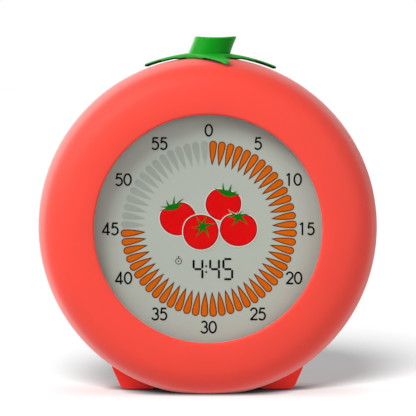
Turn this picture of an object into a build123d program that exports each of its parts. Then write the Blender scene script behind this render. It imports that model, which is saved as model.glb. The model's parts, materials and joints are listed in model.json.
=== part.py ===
from build123d import *

# A tomato-shaped visual countdown timer with a round liquid-crystal display.
#
# Frame: +Z is up, the display faces -Y and +X is on the right of someone reading it. The origin is
# on the surface that the timer stands on, below the middle of its width and depth. Millimetres.
import os
from math import cos, radians, sin, sqrt

# ---- Driving dimensions: body ----
body_radius = 55.0  # the tomato seen from the front
body_depth = 46.0  # from the display's lip to the back
floor_flat_depth = 1.25  # what the standing flat takes off the round body
wall = 2.4
side_radius = 40.0  # gentle curve from the belt towards the front
side_turn = 18.0  # degrees
shoulder_radius = 10.5  # tight curve of the front edge
shoulder_turn = 56.0  # degrees
lip_radius = 0.8  # rounded edge of the display opening
rear_shoulder_radius = 10.0
rear_shoulder_turn = 64.0  # degrees
back_flat_radius = 38.3
seam_chamfer = 0.3
tongue_length = 1.2  # the rear shell's tongue in the front shell
seam_clearance = 0.15

# ---- Driving dimensions: display ----
opening_radius = 36.7
bore_depth = 3.2  # from the lip to the window's seat
window_overlap = 2.5  # the window's radius beyond the opening
window_thickness = 1.5
tape_thickness = 0.3
tape_inset = 0.3
window_chamfer = 0.2
window_collar_wall = 1.5
polariser_thickness = 0.2
polariser_gap = 0.3  # air between the window and the front polariser
glass_thickness = 1.1
glass_ledge = 3.5  # strip of the front glass left bare for the zebra connectors
film_thickness = 0.2
light_guide_thickness = 2.4
frame_back_thickness = 1.2
frame_wall = 1.7
board_thickness = 1.6
zebra_width = 1.8
led_ring_radius = 26.0
led_length = 3.0
led_width = 1.4
led_height = 1.0
chip_width = 10.0
chip_height = 1.6
chip_position = (-8.0, 4.0)  # right and up from the board's centre
crystal_length = 11.0
crystal_width = 4.6
crystal_height = 3.4
crystal_position = (10.0, 6.0)
fit_gap = 0.2  # play round pieces that drop into a seat

# ---- Driving dimensions: screws and posts ----
shell_screw_radius = 1.2
shell_screw_length = 12.0
shell_screw_head_radius = 2.4
shell_screw_head_height = 1.8
shell_post_radius = 3.2
shell_post_angles = (30, 150, 210, 330)  # degrees round the display, from +X
shell_post_gap = 0.5  # between the display frame and the posts
post_reach = 1.0  # the posts end this far in front of the parting plane
rear_boss_radius = 4.2
boss_floor = 2.4  # plastic under each shell screw's head
rib_thickness = 1.4
rib_setback = 4.0  # the ribs end this far in front of the posts
small_screw_radius = 1.0
small_screw_length = 6.5
small_screw_head_radius = 2.0
small_screw_head_height = 1.4
ear_radius = 3.2
ear_angles = (60, 120, 240, 300)  # degrees
ear_reach = 3.2  # from the frame's rim to the ear's screw
hole_clearance = 0.25
pilot_clearance = 0.05

# ---- Driving dimensions: stem knob, calyx and encoder ----
stalk_radius = 7.0
stalk_top_radius = 6.8
stalk_rise = 6.9  # above the body's crown
stalk_lean = 2.5  # how far the top stands to the right of the knob's axis
stalk_dish_radius = 60.0
stalk_edge_radius = 0.4
lean_start = 0.1  # the leaning part starts this far below the crown
flange_radius = 8.2
flange_height = 1.2
flange_depth = 0.9  # the flange's top below the crown
knob_clearance = 0.3
well_wall = 1.4
well_floor = 2.0
press_travel = 0.6
calyx_gap = 0.5  # air between the leaves and the body
leaf_thickness = 1.15
calyx_collar_width = 1.0
calyx_seat_gap = 0.05
calyx_skirt_gap = 0.1  # round and below the skirt that lines the well
calyx_pin_radius = 1.0
calyx_pad_radius = 1.8  # raised seat round each pin
calyx_pin_ring = 11.9
calyx_pin_length = 3.2  # below the crown
calyx_pin_angles = (-78, 3, 180)  # degrees, clear of the seam behind
leaf_tip = 1.3  # half width of a leaf's blunt end
leaf_bulge = 0.86  # width halfway along a leaf, in parts of the width at its root
# Each leaf: direction in degrees from +X seen from above, reach, and how wide its root is on the
# left and on the right of that direction. The front leaf's left side runs straight to its tip.
leaves = (
    (-70, 16.7, 1.3, 6.9),
    (3, 21.0, 5.5, 5.5),
    (62, 17.5, 5.2, 5.2),
    (121, 16.5, 5.0, 5.0),
    (180, 19.2, 5.6, 5.6),
)
nut_height = 1.8
nut_radius = 5.6
washer_thickness = 0.4
washer_radius = 5.8
nut_gap = 0.4  # air under the pressed knob
bush_radius = 3.5
shaft_radius = 3.0
shaft_flat = 1.5  # the D flat's distance from the shaft's axis
shaft_top_cover = 2.2  # plastic over the shaft's end
shaft_running_gap = 0.05
shaft_collar_radius = 3.9
shaft_collar_height = 0.8
encoder_width = 12.0
encoder_height = 5.0
slider_width = 8.0
slider_height = 1.6
encoder_board_length = 22.0
encoder_board_margin = 1.0  # board in front of and behind the encoder
shaft_chamfer = 0.3
moulded_edge = 0.5  # rounded corners of the small bought parts

# ---- Driving dimensions: rear controls ----
panel_length = 52.0
panel_height = 16.0
panel_recess = 1.0
panel_above_centre = 13.0
button_spacing = 34.0
button_radius = 4.0
button_flange_radius = 5.0
button_flange_height = 1.0
button_edge_radius = 0.5
button_clearance = 0.25
button_travel = 0.4
button_below_back = 0.3
slider_cap_length = 4.0
slider_cap_width = 2.6
slider_groove_depth = 0.3
slider_flange_height = 0.8
slider_flange_margin = 1.0
slider_pin_margin = 0.7  # from the cap's ends to the pin's
slider_travel = 2.0  # each way
slide_switch_length = 12.0
slide_switch_width = 4.6
slide_switch_wall = 1.5
switch_height = 3.5
tact_width = 6.0
tact_plunger_radius = 1.75
tact_plunger_rise = 0.8
rear_board_length = 56.0
rear_board_height = 33.0
rear_board_above_centre = 20.5
rear_board_depth = 9.4  # from the back to the board's rear face
rear_board_margin = 3.5  # from the board's edge to its screws
standoff_radius = 2.4
buzzer_radius = 6.0
buzzer_height = 5.6
buzzer_above_centre = 29.0
grille_hole_radius = 0.8
grille_pitch = 2.6

# ---- Driving dimensions: battery bay ----
cell_radius = 5.25
cell_length = 44.5
cell_nub_radius = 1.9
cell_nub_length = 1.0
cell_gap = 0.3
contact_thickness = 0.4
contact_width = 9.0
spring_length = 4.0
spring_radius = 3.2
spring_wire_radius = 0.35
spring_turns = 3
dimple_height = 1.0
dimple_radius = 1.6
bay_slack = 1.1  # spare height round the two cells
bay_wall = 2.4
bay_below_centre = 13.0
door_thickness = 2.0
door_ledge = 2.0
door_gap = 0.3
door_seat_gap = 0.1
hinge_radius = 1.4
hinge_pin_radius = 0.8
hinge_pin_length = 1.4
hinge_running_gap = 0.07
latch_width = 12.0
latch_reach = 2.4
latch_thickness = 1.0
door_grip_height = 4.0  # from the door's lower edge to the middle groove
door_grip_pitch = 1.6
door_grip_length = 10.0
door_grip_width = 0.7
door_grip_depth = 0.4
nail_notch_radius = 5.0
nail_notch_depth = 1.2

# ---- Driving dimensions: feet ----
foot_inner_x = 16.0
foot_outer_x = 28.1  # at the sole
foot_splay = 0.45  # how far the outer side leans out for each millimetre of height
foot_splay_height = 7.2  # above this the outer side goes straight up
foot_corner_radius = 2.5
foot_toe = 7.0  # how far the feet reach forward under the front shell
foot_toe_gap = 0.3  # air between the toes and the front shell
foot_back_inset = 2.0
foot_edge_radius = 2.5
foot_cover = 2.0  # how far the feet run up inside the body
pad_margin = 0.45  # from the pad to the sole's edges
pad_recess = 0.8
pad_proud = 0.3

# ---- Body outline, worked out ----
front_y = -body_depth / 2
back_y = body_depth / 2
centre_height = body_radius - floor_flat_depth
crown_z = centre_height + body_radius
face_rim_radius = opening_radius + lip_radius
side_end = radians(side_turn)
shoulder_end = radians(side_turn + shoulder_turn)
face_turn = 90 - side_turn - shoulder_turn
face_radius = (
    body_radius
    - face_rim_radius
    - side_radius * (1 - cos(side_end))
    - shoulder_radius * (cos(side_end) - cos(shoulder_end))
) / cos(shoulder_end)
belt_front_y = (
    front_y
    + side_radius * sin(side_end)
    + shoulder_radius * (sin(shoulder_end) - sin(side_end))
    + face_radius * (1 - sin(shoulder_end))
)
rear_end = radians(rear_shoulder_turn)
back_turn = 90 - rear_shoulder_turn
back_arc_radius = (
    body_radius - back_flat_radius - rear_shoulder_radius * (1 - cos(rear_end))
) / cos(rear_end)
parting_y = back_y - rear_shoulder_radius * sin(rear_end) - back_arc_radius * (1 - sin(rear_end))

# ---- Display stack, from the window back to the board ----
window_radius = opening_radius + window_overlap
collar_inner_radius = window_radius + fit_gap
collar_outer_radius = collar_inner_radius + window_collar_wall
window_seat_y = front_y + bore_depth
window_front_y = window_seat_y + tape_thickness
window_rear_y = window_front_y + window_thickness
polariser_front_y = window_rear_y + polariser_gap
front_glass_y = polariser_front_y + polariser_thickness
rear_glass_y = front_glass_y + glass_thickness
reflector_y = rear_glass_y + glass_thickness
colour_film_y = reflector_y + film_thickness
light_guide_y = colour_film_y + film_thickness
frame_back_y = light_guide_y + light_guide_thickness
board_front_y = frame_back_y + frame_back_thickness
board_rear_y = board_front_y + board_thickness
frame_outer_radius = collar_outer_radius - fit_gap
frame_inner_radius = frame_outer_radius - frame_wall
glass_radius = frame_inner_radius - fit_gap
main_board_radius = glass_radius
clipped_half_height = glass_radius - glass_ledge - fit_gap
zebra_offset = clipped_half_height + fit_gap + zebra_width / 2 + fit_gap
zebra_length = 2 * sqrt(glass_radius**2 - (zebra_offset + zebra_width / 2) ** 2)
ear_ring_radius = frame_outer_radius + ear_reach

# ---- Posts and screws ----
post_ring_radius = frame_outer_radius + shell_post_gap + shell_post_radius
post_end_y = parting_y - post_reach
rib_end_y = post_end_y - rib_setback
screw_seat_y = post_end_y + boss_floor

# ---- Knob and encoder, from the crown down ----
well_radius = flange_radius + knob_clearance
well_outer_radius = well_radius + well_wall
knob_y = parting_y - tongue_length - 2 * seam_clearance - well_outer_radius
stalk_top_z = crown_z + stalk_rise
lean_start_z = crown_z - lean_start
flange_top_z = crown_z - flange_depth
flange_bottom_z = flange_top_z - flange_height
nut_top_z = flange_bottom_z - press_travel - nut_gap
washer_top_z = nut_top_z - nut_height
well_floor_z = washer_top_z - washer_thickness
case_top_z = well_floor_z - well_floor
case_bottom_z = case_top_z - encoder_height
slider_bottom_z = case_bottom_z + press_travel + fit_gap
slider_top_z = slider_bottom_z + slider_height
case_cavity_top_z = slider_top_z + shaft_collar_height + fit_gap
shaft_top_z = stalk_top_z - shaft_top_cover
calyx_hole_radius = stalk_radius + stalk_lean * (
    (lean_start + calyx_gap + leaf_thickness) / (stalk_rise + lean_start)
) + knob_clearance

# ---- Rear controls ----
panel_floor_y = back_y - panel_recess
panel_inner_y = panel_floor_y - wall
rear_board_y = back_y - rear_board_depth
switch_top_y = rear_board_y + switch_height
plunger_top_y = switch_top_y + tact_plunger_rise
button_rear_y = back_y - button_below_back
screw_spacing_x = rear_board_length - 2 * rear_board_margin
screw_spacing_z = rear_board_height - 2 * rear_board_margin
slider_pin_width = slide_switch_width - 2 * slide_switch_wall
slider_pin_length = slider_cap_length - 2 * slider_pin_margin
slider_flange_length = slider_cap_length + 4 * slider_travel + 2 * slider_flange_margin
slider_flange_width = slider_cap_width + 4 * button_clearance + 2 * slider_flange_margin

# ---- Battery bay and door ----
bay_length = cell_length + spring_length + dimple_height + 2 * contact_thickness + cell_gap
bay_height = 4 * cell_radius + 3 * cell_gap + bay_slack
door_inner_y = back_y - door_thickness
ledge_y = door_inner_y - door_seat_gap
cell_y = ledge_y - cell_gap - cell_radius
bay_floor_y = cell_y - cell_radius - cell_gap
cell_spacing = 2 * cell_radius + cell_gap
bay_top_z = centre_height - bay_below_centre + bay_height / 2
bay_bottom_z = bay_top_z - bay_height
door_half_length = bay_length / 2 + door_ledge - door_gap
door_bottom_z = bay_bottom_z - door_ledge + door_gap
hinge_y = back_y - hinge_radius
hinge_z = bay_top_z + bay_wall
groove_radius = hinge_radius + door_gap

# ---- Feet ----
foot_front_y = parting_y - foot_toe
foot_back_y = back_y - foot_back_inset
foot_x = (foot_inner_x + foot_outer_x) / 2
foot_side_x = foot_outer_x + foot_splay * (foot_splay_height - pad_proud)
back_arc_centre_y = back_y - back_arc_radius
foot_back_body_radius = back_flat_radius + sqrt(
    back_arc_radius**2 - (foot_back_y - back_arc_centre_y) ** 2
)
foot_top = centre_height - sqrt(foot_back_body_radius**2 - foot_side_x**2) + foot_cover
sole_back_y = foot_back_y - foot_edge_radius
foot_y = (foot_front_y + sole_back_y) / 2
pad_radius = (foot_outer_x - foot_inner_x) / 2 - foot_corner_radius - pad_margin

# ---- Planes, axis and small helpers ----
section_plane = Plane(origin=(0, 0, centre_height), x_dir=(0, 1, 0), z_dir=(1, 0, 0))
body_axis = Axis((0, 0, centre_height), (0, 1, 0))
reach_out = 2 * body_radius  # safely longer than anything that a cut has to pass


def across(y):
    """Plane across the body at depth y: local x is right, local y is up, extrusion runs forward."""
    return Plane(origin=(0, y, centre_height), x_dir=(1, 0, 0), z_dir=(0, -1, 0))


def level(z):
    """Level plane at height z, centred on the knob's axis."""
    return Plane(origin=(0, knob_y, z))


def band(y_from, y_to, r_from, r_to, mode=Mode.ADD):
    """A rectangle of the section plane, which revolves into a ring."""
    with Locations(((y_from + y_to) / 2, (r_from + r_to) / 2)):
        Rectangle(y_to - y_from, r_to - r_from, mode=mode)


def at_angles(angles, radius, profile_radius, mode=Mode.ADD):
    """Equal circles at the given angles on a ring."""
    for angle in angles:
        with PolarLocations(radius, 1, start_angle=angle):
            Circle(profile_radius, mode=mode)


def front_arcs(inset):
    """The three tangent arcs from the belt to the face's rim, drawn inset inside the skin."""
    side = JernArc((belt_front_y, body_radius - inset), (-1, 0), side_radius - inset, side_turn)
    shoulder = JernArc(side @ 1, side % 1, shoulder_radius - inset, shoulder_turn)
    face = JernArc(shoulder @ 1, shoulder % 1, face_radius - inset, face_turn)
    return side, shoulder, face


def rear_arcs(inset):
    """The two tangent arcs from the parting plane to the flat back, drawn inset inside the skin."""
    start = (parting_y, body_radius - inset)
    shoulder = JernArc(start, (1, 0), rear_shoulder_radius - inset, -rear_shoulder_turn)
    back = JernArc(shoulder @ 1, shoulder % 1, back_arc_radius - inset, -back_turn)
    return shoulder, back


def body_form(inset):
    """The whole body as one solid of revolution, inset inside the skin, or outside if negative."""
    with BuildPart() as form:
        with BuildSketch(section_plane):
            with BuildLine():
                front = front_arcs(inset)
                rear = rear_arcs(inset)
                Line(front[0] @ 0, rear[0] @ 0)
                Polyline(front[-1] @ 1, (front_y + inset, 0), (back_y - inset, 0), rear[-1] @ 1)
            make_face()
        revolve(axis=body_axis)
    return form.part


def finish(piece, name):
    """Label a finished piece and write it to its own STEP file."""
    piece.part.label = name
    export_step(piece.part, f"parts/{name}.step")


os.makedirs("parts", exist_ok=True)
mid_wall_form = body_form(wall / 2)
inner_form = body_form(wall)

# ---- Front shell ----
# Posts and the knob's well grow out of the middle of the wall, so they are trimmed to it first.
with BuildPart() as front_fittings:
    with BuildSketch(across(post_end_y)):
        at_angles(shell_post_angles, post_ring_radius, shell_post_radius)
    extrude(amount=post_end_y - front_y)
    with BuildSketch(across(rib_end_y)):
        for post_angle in shell_post_angles:
            with PolarLocations((post_ring_radius + body_radius) / 2, 1, start_angle=post_angle):
                Rectangle(body_radius - post_ring_radius, rib_thickness)
    extrude(amount=rib_end_y - front_y)
    with BuildSketch(across(frame_back_y)):
        at_angles(ear_angles, ear_ring_radius, ear_radius)
    extrude(amount=frame_back_y - front_y)
    with BuildSketch(level(case_top_z)):
        Circle(well_outer_radius)
    extrude(amount=crown_z - case_top_z)
    add(mid_wall_form, mode=Mode.INTERSECT)

with BuildPart() as front_shell:
    with BuildSketch(section_plane):
        with BuildLine():
            skin = front_arcs(0)
            lining = front_arcs(wall)
            lip = JernArc(skin[-1] @ 1, (0, -1), lip_radius, 90)
            Polyline(lip @ 1, (front_y + wall, opening_radius), lining[-1] @ 1)
            Polyline(
                skin[0] @ 0,
                (parting_y - seam_chamfer, body_radius),
                (parting_y, body_radius - seam_chamfer),
                (parting_y, body_radius - wall),
                lining[0] @ 0,
            )
        make_face()
        # Seat and collar of the display window.
        band(front_y + wall / 2, window_seat_y, opening_radius, collar_outer_radius)
        band(front_y + wall / 2, window_rear_y, collar_inner_radius, collar_outer_radius)
        # Rebate for the rear shell's tongue.
        rebate_y = parting_y - tongue_length - seam_clearance
        band(rebate_y, parting_y, body_radius - 2 * wall, body_radius - wall / 2, Mode.SUBTRACT)
    revolve(axis=body_axis)
    add(front_fittings.part)
    with BuildSketch(across(post_end_y)):
        at_angles(shell_post_angles, post_ring_radius, shell_screw_radius + pilot_clearance)
    extrude(amount=shell_screw_length, mode=Mode.SUBTRACT)
    with BuildSketch(across(frame_back_y)):
        at_angles(ear_angles, ear_ring_radius, small_screw_radius + pilot_clearance)
    extrude(amount=small_screw_length, mode=Mode.SUBTRACT)
    with BuildSketch(level(well_floor_z)):
        Circle(well_radius)
    extrude(amount=reach_out, mode=Mode.SUBTRACT)
    with BuildSketch(level(case_top_z)):
        Circle(bush_radius + fit_gap / 2)
    extrude(amount=well_floor, mode=Mode.SUBTRACT)
    with BuildSketch(level(crown_z - 2 * wall)):
        at_angles(calyx_pin_angles, calyx_pin_ring, calyx_pin_radius + fit_gap / 2)
    extrude(amount=reach_out, mode=Mode.SUBTRACT)
    with BuildSketch(Plane.XY):
        Rectangle(reach_out, reach_out)
    extrude(amount=-body_radius, mode=Mode.SUBTRACT)
finish(front_shell, "front_shell")

# ---- Rear shell ----
with BuildPart() as rear_fittings:
    with BuildSketch(across(post_end_y)):
        at_angles(shell_post_angles, post_ring_radius, rear_boss_radius)
    extrude(amount=post_end_y - back_y)
    with BuildSketch(across(rear_board_y)):
        with Locations((0, rear_board_above_centre)):
            with GridLocations(screw_spacing_x, screw_spacing_z, 2, 2):
                Circle(standoff_radius)
    extrude(amount=rear_board_y - back_y)
    with BuildSketch(across(panel_inner_y)):
        with Locations((0, panel_above_centre)):
            SlotOverall(panel_length + 2 * wall, panel_height + 2 * wall)
    extrude(amount=panel_inner_y - back_y)
    # Battery bay block and the thicker land that holds the door's hinge.
    with BuildSketch(across(bay_floor_y - bay_wall)):
        with Locations((0, -bay_below_centre)):
            Rectangle(bay_length + 2 * bay_wall, bay_height + 2 * bay_wall)
    extrude(amount=bay_floor_y - bay_wall - back_y)
    land_front_y = hinge_y - groove_radius - bay_wall / 2
    with BuildSketch(across(land_front_y)):
        with Locations((0, hinge_z - centre_height)):
            Rectangle(
                2 * (door_half_length + door_gap + hinge_pin_length + bay_wall / 2),
                2 * (groove_radius + bay_wall / 2),
            )
    extrude(amount=land_front_y - back_y)
    add(mid_wall_form, mode=Mode.INTERSECT)



def foot_outline(inset, sole_z):
    """Front view of the right foot, its side and inner end drawn inset inside the skin."""
    with BuildSketch() as outline:
        with BuildLine():
            Polyline(
                (foot_inner_x + inset, sole_z),
                (foot_outer_x - inset, sole_z),
                (foot_side_x - inset, foot_splay_height),
                (foot_side_x - inset, foot_top),
                (foot_inner_x + inset, foot_top),
                close=True,
            )
        make_face()
        fillet(outline.vertices().group_by(Axis.Y)[0], foot_corner_radius - inset / 2)
    return outline.sketch


def upright(y):
    """Plane across the body at depth y like across(y), but with its origin on the floor."""
    return Plane(origin=(0, y, 0), x_dir=(1, 0, 0), z_dir=(0, -1, 0))


foot_skin_outline = foot_outline(0, pad_proud)
foot_core_outline = foot_outline(wall, pad_proud + pad_recess + wall)
with BuildPart() as feet:
    with BuildSketch(upright(foot_back_y)):
        add(foot_skin_outline)
    extrude(amount=foot_back_y - foot_front_y)
    fillet(feet.faces().sort_by(Axis.Y)[-1].edges(), foot_edge_radius)
    mirror(about=Plane.YZ)
    add(mid_wall_form, mode=Mode.SUBTRACT)
    # The toes stay clear of the front shell.
    with BuildSketch(across(parting_y)):
        Circle(body_radius + foot_toe_gap)
    extrude(amount=reach_out, mode=Mode.SUBTRACT)

with BuildPart() as foot_cores:
    with BuildSketch(upright(foot_back_y - wall)):
        add(foot_core_outline)
    extrude(amount=foot_back_y - parting_y - 2 * wall)
    mirror(about=Plane.YZ)

with BuildPart() as rear_shell:
    with BuildSketch(section_plane):
        with BuildLine():
            skin = rear_arcs(0)
            lining = rear_arcs(wall)
            tongue_radius = body_radius - wall / 2 - seam_clearance
            Polyline(skin[-1] @ 1, (back_y, 0), (back_y - wall, 0), lining[-1] @ 1)
            Polyline(
                lining[0] @ 0,
                (parting_y - tongue_length, body_radius - wall),
                (parting_y - tongue_length, tongue_radius),
                (parting_y, tongue_radius),
                skin[0] @ 0,
            )
        make_face()
    revolve(axis=body_axis)
    add(rear_fittings.part)
    add(feet.part)
    add(foot_cores.part, mode=Mode.SUBTRACT)
    # Shell screws: clearance holes with deep counterbores from the back.
    with BuildSketch(across(post_end_y)):
        at_angles(shell_post_angles, post_ring_radius, shell_screw_radius + hole_clearance)
    extrude(amount=-boss_floor, mode=Mode.SUBTRACT)
    with BuildSketch(across(screw_seat_y)):
        at_angles(shell_post_angles, post_ring_radius, shell_screw_head_radius + hole_clearance)
    extrude(amount=-reach_out, mode=Mode.SUBTRACT)
    # Standoff pilot holes for the rear board.
    with BuildSketch(across(rear_board_y)):
        with Locations((0, rear_board_above_centre)):
            with GridLocations(screw_spacing_x, screw_spacing_z, 2, 2):
                Circle(small_screw_radius + pilot_clearance)
    extrude(amount=-(small_screw_length - board_thickness), mode=Mode.SUBTRACT)
    # Control panel: recess, two button holes and the slider's slot.
    with BuildSketch(across(panel_floor_y)):
        with Locations((0, panel_above_centre)):
            SlotOverall(panel_length, panel_height)
    extrude(amount=-reach_out, mode=Mode.SUBTRACT)
    with BuildSketch(across(panel_inner_y)):
        with Locations((0, panel_above_centre)):
            with GridLocations(button_spacing, 0, 2, 1):
                Circle(button_radius + button_clearance)
            Rectangle(
                slider_cap_length + 2 * (slider_travel + button_clearance),
                slider_cap_width + 2 * button_clearance,
            )
    extrude(amount=-reach_out, mode=Mode.SUBTRACT)
    # Buzzer grille.
    with BuildSketch(across(back_y - 2 * wall)):
        with Locations((0, buzzer_above_centre)):
            Circle(grille_hole_radius)
            with PolarLocations(grille_pitch, 6):
                Circle(grille_hole_radius)
    extrude(amount=-reach_out, mode=Mode.SUBTRACT)
    # Battery bay, the door's recess and ledge, the hinge groove and its pin holes.
    with BuildSketch(across(bay_floor_y)):
        with Locations((0, -bay_below_centre)):
            Rectangle(bay_length, bay_height)
    extrude(amount=-reach_out, mode=Mode.SUBTRACT)
    recess_bottom = door_bottom_z - door_gap - centre_height
    recess_top = hinge_z - centre_height
    with BuildSketch(across(ledge_y)):
        with Locations((0, (recess_top + recess_bottom) / 2)):
            Rectangle(2 * (door_half_length + door_gap), recess_top - recess_bottom)
    extrude(amount=-reach_out, mode=Mode.SUBTRACT)
    groove_start = Plane(
        origin=(-door_half_length - door_gap, hinge_y, hinge_z), x_dir=(0, 1, 0), z_dir=(1, 0, 0)
    )
    with BuildSketch(groove_start):
        Circle(groove_radius)
        with Locations((groove_radius, 0)):
            Rectangle(2 * groove_radius, 2 * groove_radius)
    extrude(amount=2 * (door_half_length + door_gap), mode=Mode.SUBTRACT)
    hole_reach = door_half_length + door_gap + hinge_pin_length
    with BuildSketch(Plane(origin=(-hole_reach, hinge_y, hinge_z), x_dir=(0, 1, 0), z_dir=(1, 0, 0))):
        Circle(hinge_pin_radius + hinge_running_gap)
    extrude(amount=2 * hole_reach, mode=Mode.SUBTRACT)
    # Notch for a fingernail under the door's lower edge.
    with BuildSketch(across(back_y - nail_notch_depth)):
        with Locations((0, recess_bottom)):
            Circle(nail_notch_radius)
    extrude(amount=-reach_out, mode=Mode.SUBTRACT)
    # Pad recesses and the standing flat.
    with BuildSketch(Plane.XY):
        with Locations((0, foot_y)):
            with GridLocations(2 * foot_x, 0, 2, 1):
                Circle(pad_radius + fit_gap / 2)
    extrude(amount=pad_proud + pad_recess, mode=Mode.SUBTRACT)
    with BuildSketch(Plane.XY):
        Rectangle(reach_out, reach_out)
    extrude(amount=-body_radius, mode=Mode.SUBTRACT)
finish(rear_shell, "rear_shell")

for side, pad_name in ((-1, "left_foot_pad"), (1, "right_foot_pad")):
    with BuildPart() as foot_pad:
        with BuildSketch(Plane.XY):
            with Locations((side * foot_x, foot_y)):
                Circle(pad_radius)
        extrude(amount=pad_proud + pad_recess)
        chamfer(foot_pad.edges().group_by(Axis.Z)[0], pad_proud / 2)
    finish(foot_pad, pad_name)

# ---- Calyx ----
# The leaves are a layer that follows the body at a small distance, cut to the plan of the star.
leaf_layer_top = body_form(-calyx_gap - leaf_thickness)
leaf_layer_bottom = body_form(-calyx_gap)
leaf_middle_form = body_form(-calyx_gap - leaf_thickness / 2)
calyx_seat_form = body_form(-calyx_seat_gap)


def leaf_outline(leaf_length, left_root, right_root):
    """Plan of one leaf along +X, from the knob's axis to a blunt rounded tip."""
    middle = leaf_length / 2
    with BuildSketch() as leaf:
        with BuildLine():
            ThreePointArc((0, left_root), (middle, left_root * leaf_bulge), (leaf_length, leaf_tip))
            ThreePointArc((leaf_length, leaf_tip), (leaf_length + leaf_tip, 0), (leaf_length, -leaf_tip))
            ThreePointArc((leaf_length, -leaf_tip), (middle, -right_root * leaf_bulge), (0, -right_root))
            Line((0, -right_root), (0, left_root))
        make_face()
    return leaf.sketch


calyx_collar_radius = calyx_hole_radius + calyx_collar_width
leaf_plans = [leaf_outline(*sizes).rotate(Axis.Z, angle) for angle, *sizes in leaves]

# A skirt lines the top of the well, and each pin stands on a pad that rests on the body.
with BuildPart() as calyx_supports:
    with BuildSketch(level(crown_z - 2 * wall)):
        at_angles(calyx_pin_angles, calyx_pin_ring, calyx_pad_radius)
    extrude(amount=reach_out)
    add(calyx_seat_form, mode=Mode.SUBTRACT)
    with BuildSketch(level(crown_z - calyx_pin_length)):
        at_angles(calyx_pin_angles, calyx_pin_ring, calyx_pin_radius)
    extrude(amount=reach_out)
    with BuildSketch(level(flange_top_z + calyx_skirt_gap)):
        Circle(well_radius - calyx_skirt_gap)
    extrude(amount=reach_out)
    add(leaf_middle_form, mode=Mode.INTERSECT)

with BuildPart() as calyx:
    with BuildSketch(level(centre_height + body_radius / 2)):
        Circle(calyx_collar_radius)
        add(leaf_plans)
    extrude(amount=reach_out)
    add(leaf_layer_top, mode=Mode.INTERSECT)
    add(leaf_layer_bottom, mode=Mode.SUBTRACT)
    add(calyx_supports.part)
    with BuildSketch(level(flange_top_z - wall)):
        Circle(calyx_hole_radius)
    extrude(amount=reach_out, mode=Mode.SUBTRACT)
finish(calyx, "calyx")

# ---- Stem knob ----
with BuildPart() as stem_knob:
    with BuildSketch(level(flange_bottom_z)):
        Circle(flange_radius)
    extrude(amount=flange_height)
    with BuildSketch(level(flange_bottom_z)):
        Circle(stalk_radius)
    extrude(amount=lean_start_z - flange_bottom_z)
    with BuildSketch(level(lean_start_z)):
        Circle(stalk_radius)
    with BuildSketch(Plane(origin=(stalk_lean, knob_y, stalk_top_z))):
        Circle(stalk_top_radius)
    loft()
    # The cut end is a shallow dish.
    dish_axis_z = stalk_top_z + sqrt(stalk_dish_radius**2 - stalk_top_radius**2)
    with BuildSketch(
        Plane(origin=(stalk_lean, knob_y + stalk_radius, dish_axis_z), z_dir=(0, -1, 0))
    ):
        Circle(stalk_dish_radius)
    extrude(amount=2 * stalk_radius, mode=Mode.SUBTRACT)
    fillet(stem_knob.edges().group_by(Axis.Z)[-1], stalk_edge_radius)
    # D-shaped bore for the encoder's shaft.
    with BuildSketch(level(flange_bottom_z)) as knob_bore:
        Circle(shaft_radius + shaft_running_gap)
        with Locations((shaft_flat + shaft_running_gap + shaft_radius, 0)):
            Rectangle(2 * shaft_radius, 2 * shaft_radius + 1, mode=Mode.SUBTRACT)
    extrude(amount=shaft_top_z + fit_gap - flange_bottom_z, mode=Mode.SUBTRACT)
finish(stem_knob, "stem_knob")

# ---- Rotary push encoder ----
with BuildPart() as encoder_case:
    with BuildSketch(level(case_bottom_z)):
        RectangleRounded(encoder_width, encoder_width, moulded_edge)
    extrude(amount=encoder_height)
    with BuildSketch(level(case_top_z)):
        Circle(bush_radius)
    extrude(amount=nut_top_z - case_top_z)
    with BuildSketch(level(case_bottom_z)):
        Rectangle(slider_width + 2 * fit_gap, slider_width + 2 * fit_gap)
    extrude(amount=case_cavity_top_z - case_bottom_z, mode=Mode.SUBTRACT)
    with BuildSketch(level(case_bottom_z)):
        Circle(shaft_radius + shaft_running_gap)
    extrude(amount=reach_out, mode=Mode.SUBTRACT)
finish(encoder_case, "encoder_case")

with BuildPart() as encoder_shaft:
    with BuildSketch(level(slider_top_z)):
        Circle(shaft_collar_radius)
    extrude(amount=shaft_collar_height)
    with BuildSketch(level(slider_top_z)):
        Circle(shaft_radius)
    extrude(amount=shaft_top_z - slider_top_z)
    with BuildSketch(level(flange_bottom_z)):
        with Locations((shaft_flat + shaft_radius, 0)):
            Rectangle(2 * shaft_radius, 2 * shaft_radius + 1)
    extrude(amount=reach_out, mode=Mode.SUBTRACT)
    chamfer(encoder_shaft.edges().group_by(Axis.Z)[-1], shaft_chamfer)
finish(encoder_shaft, "encoder_shaft")

with BuildPart() as press_slider:
    with BuildSketch(level(slider_bottom_z)):
        RectangleRounded(slider_width, slider_width, moulded_edge)
    extrude(amount=slider_height)
finish(press_slider, "press_slider")

with BuildPart() as encoder_washer:
    with BuildSketch(level(well_floor_z)):
        Circle(washer_radius)
        Circle(bush_radius + fit_gap / 2, mode=Mode.SUBTRACT)
    extrude(amount=washer_thickness)
finish(encoder_washer, "encoder_washer")

with BuildPart() as encoder_nut:
    with BuildSketch(level(washer_top_z)):
        RegularPolygon(nut_radius, 6)
        Circle(bush_radius + pilot_clearance, mode=Mode.SUBTRACT)
    extrude(amount=nut_height)
finish(encoder_nut, "encoder_nut")

with BuildPart() as encoder_board:
    with BuildSketch(level(case_bottom_z - board_thickness)):
        RectangleRounded(
            encoder_board_length, encoder_width + 2 * encoder_board_margin, encoder_board_margin
        )
    extrude(amount=board_thickness)
finish(encoder_board, "encoder_board")

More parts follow.
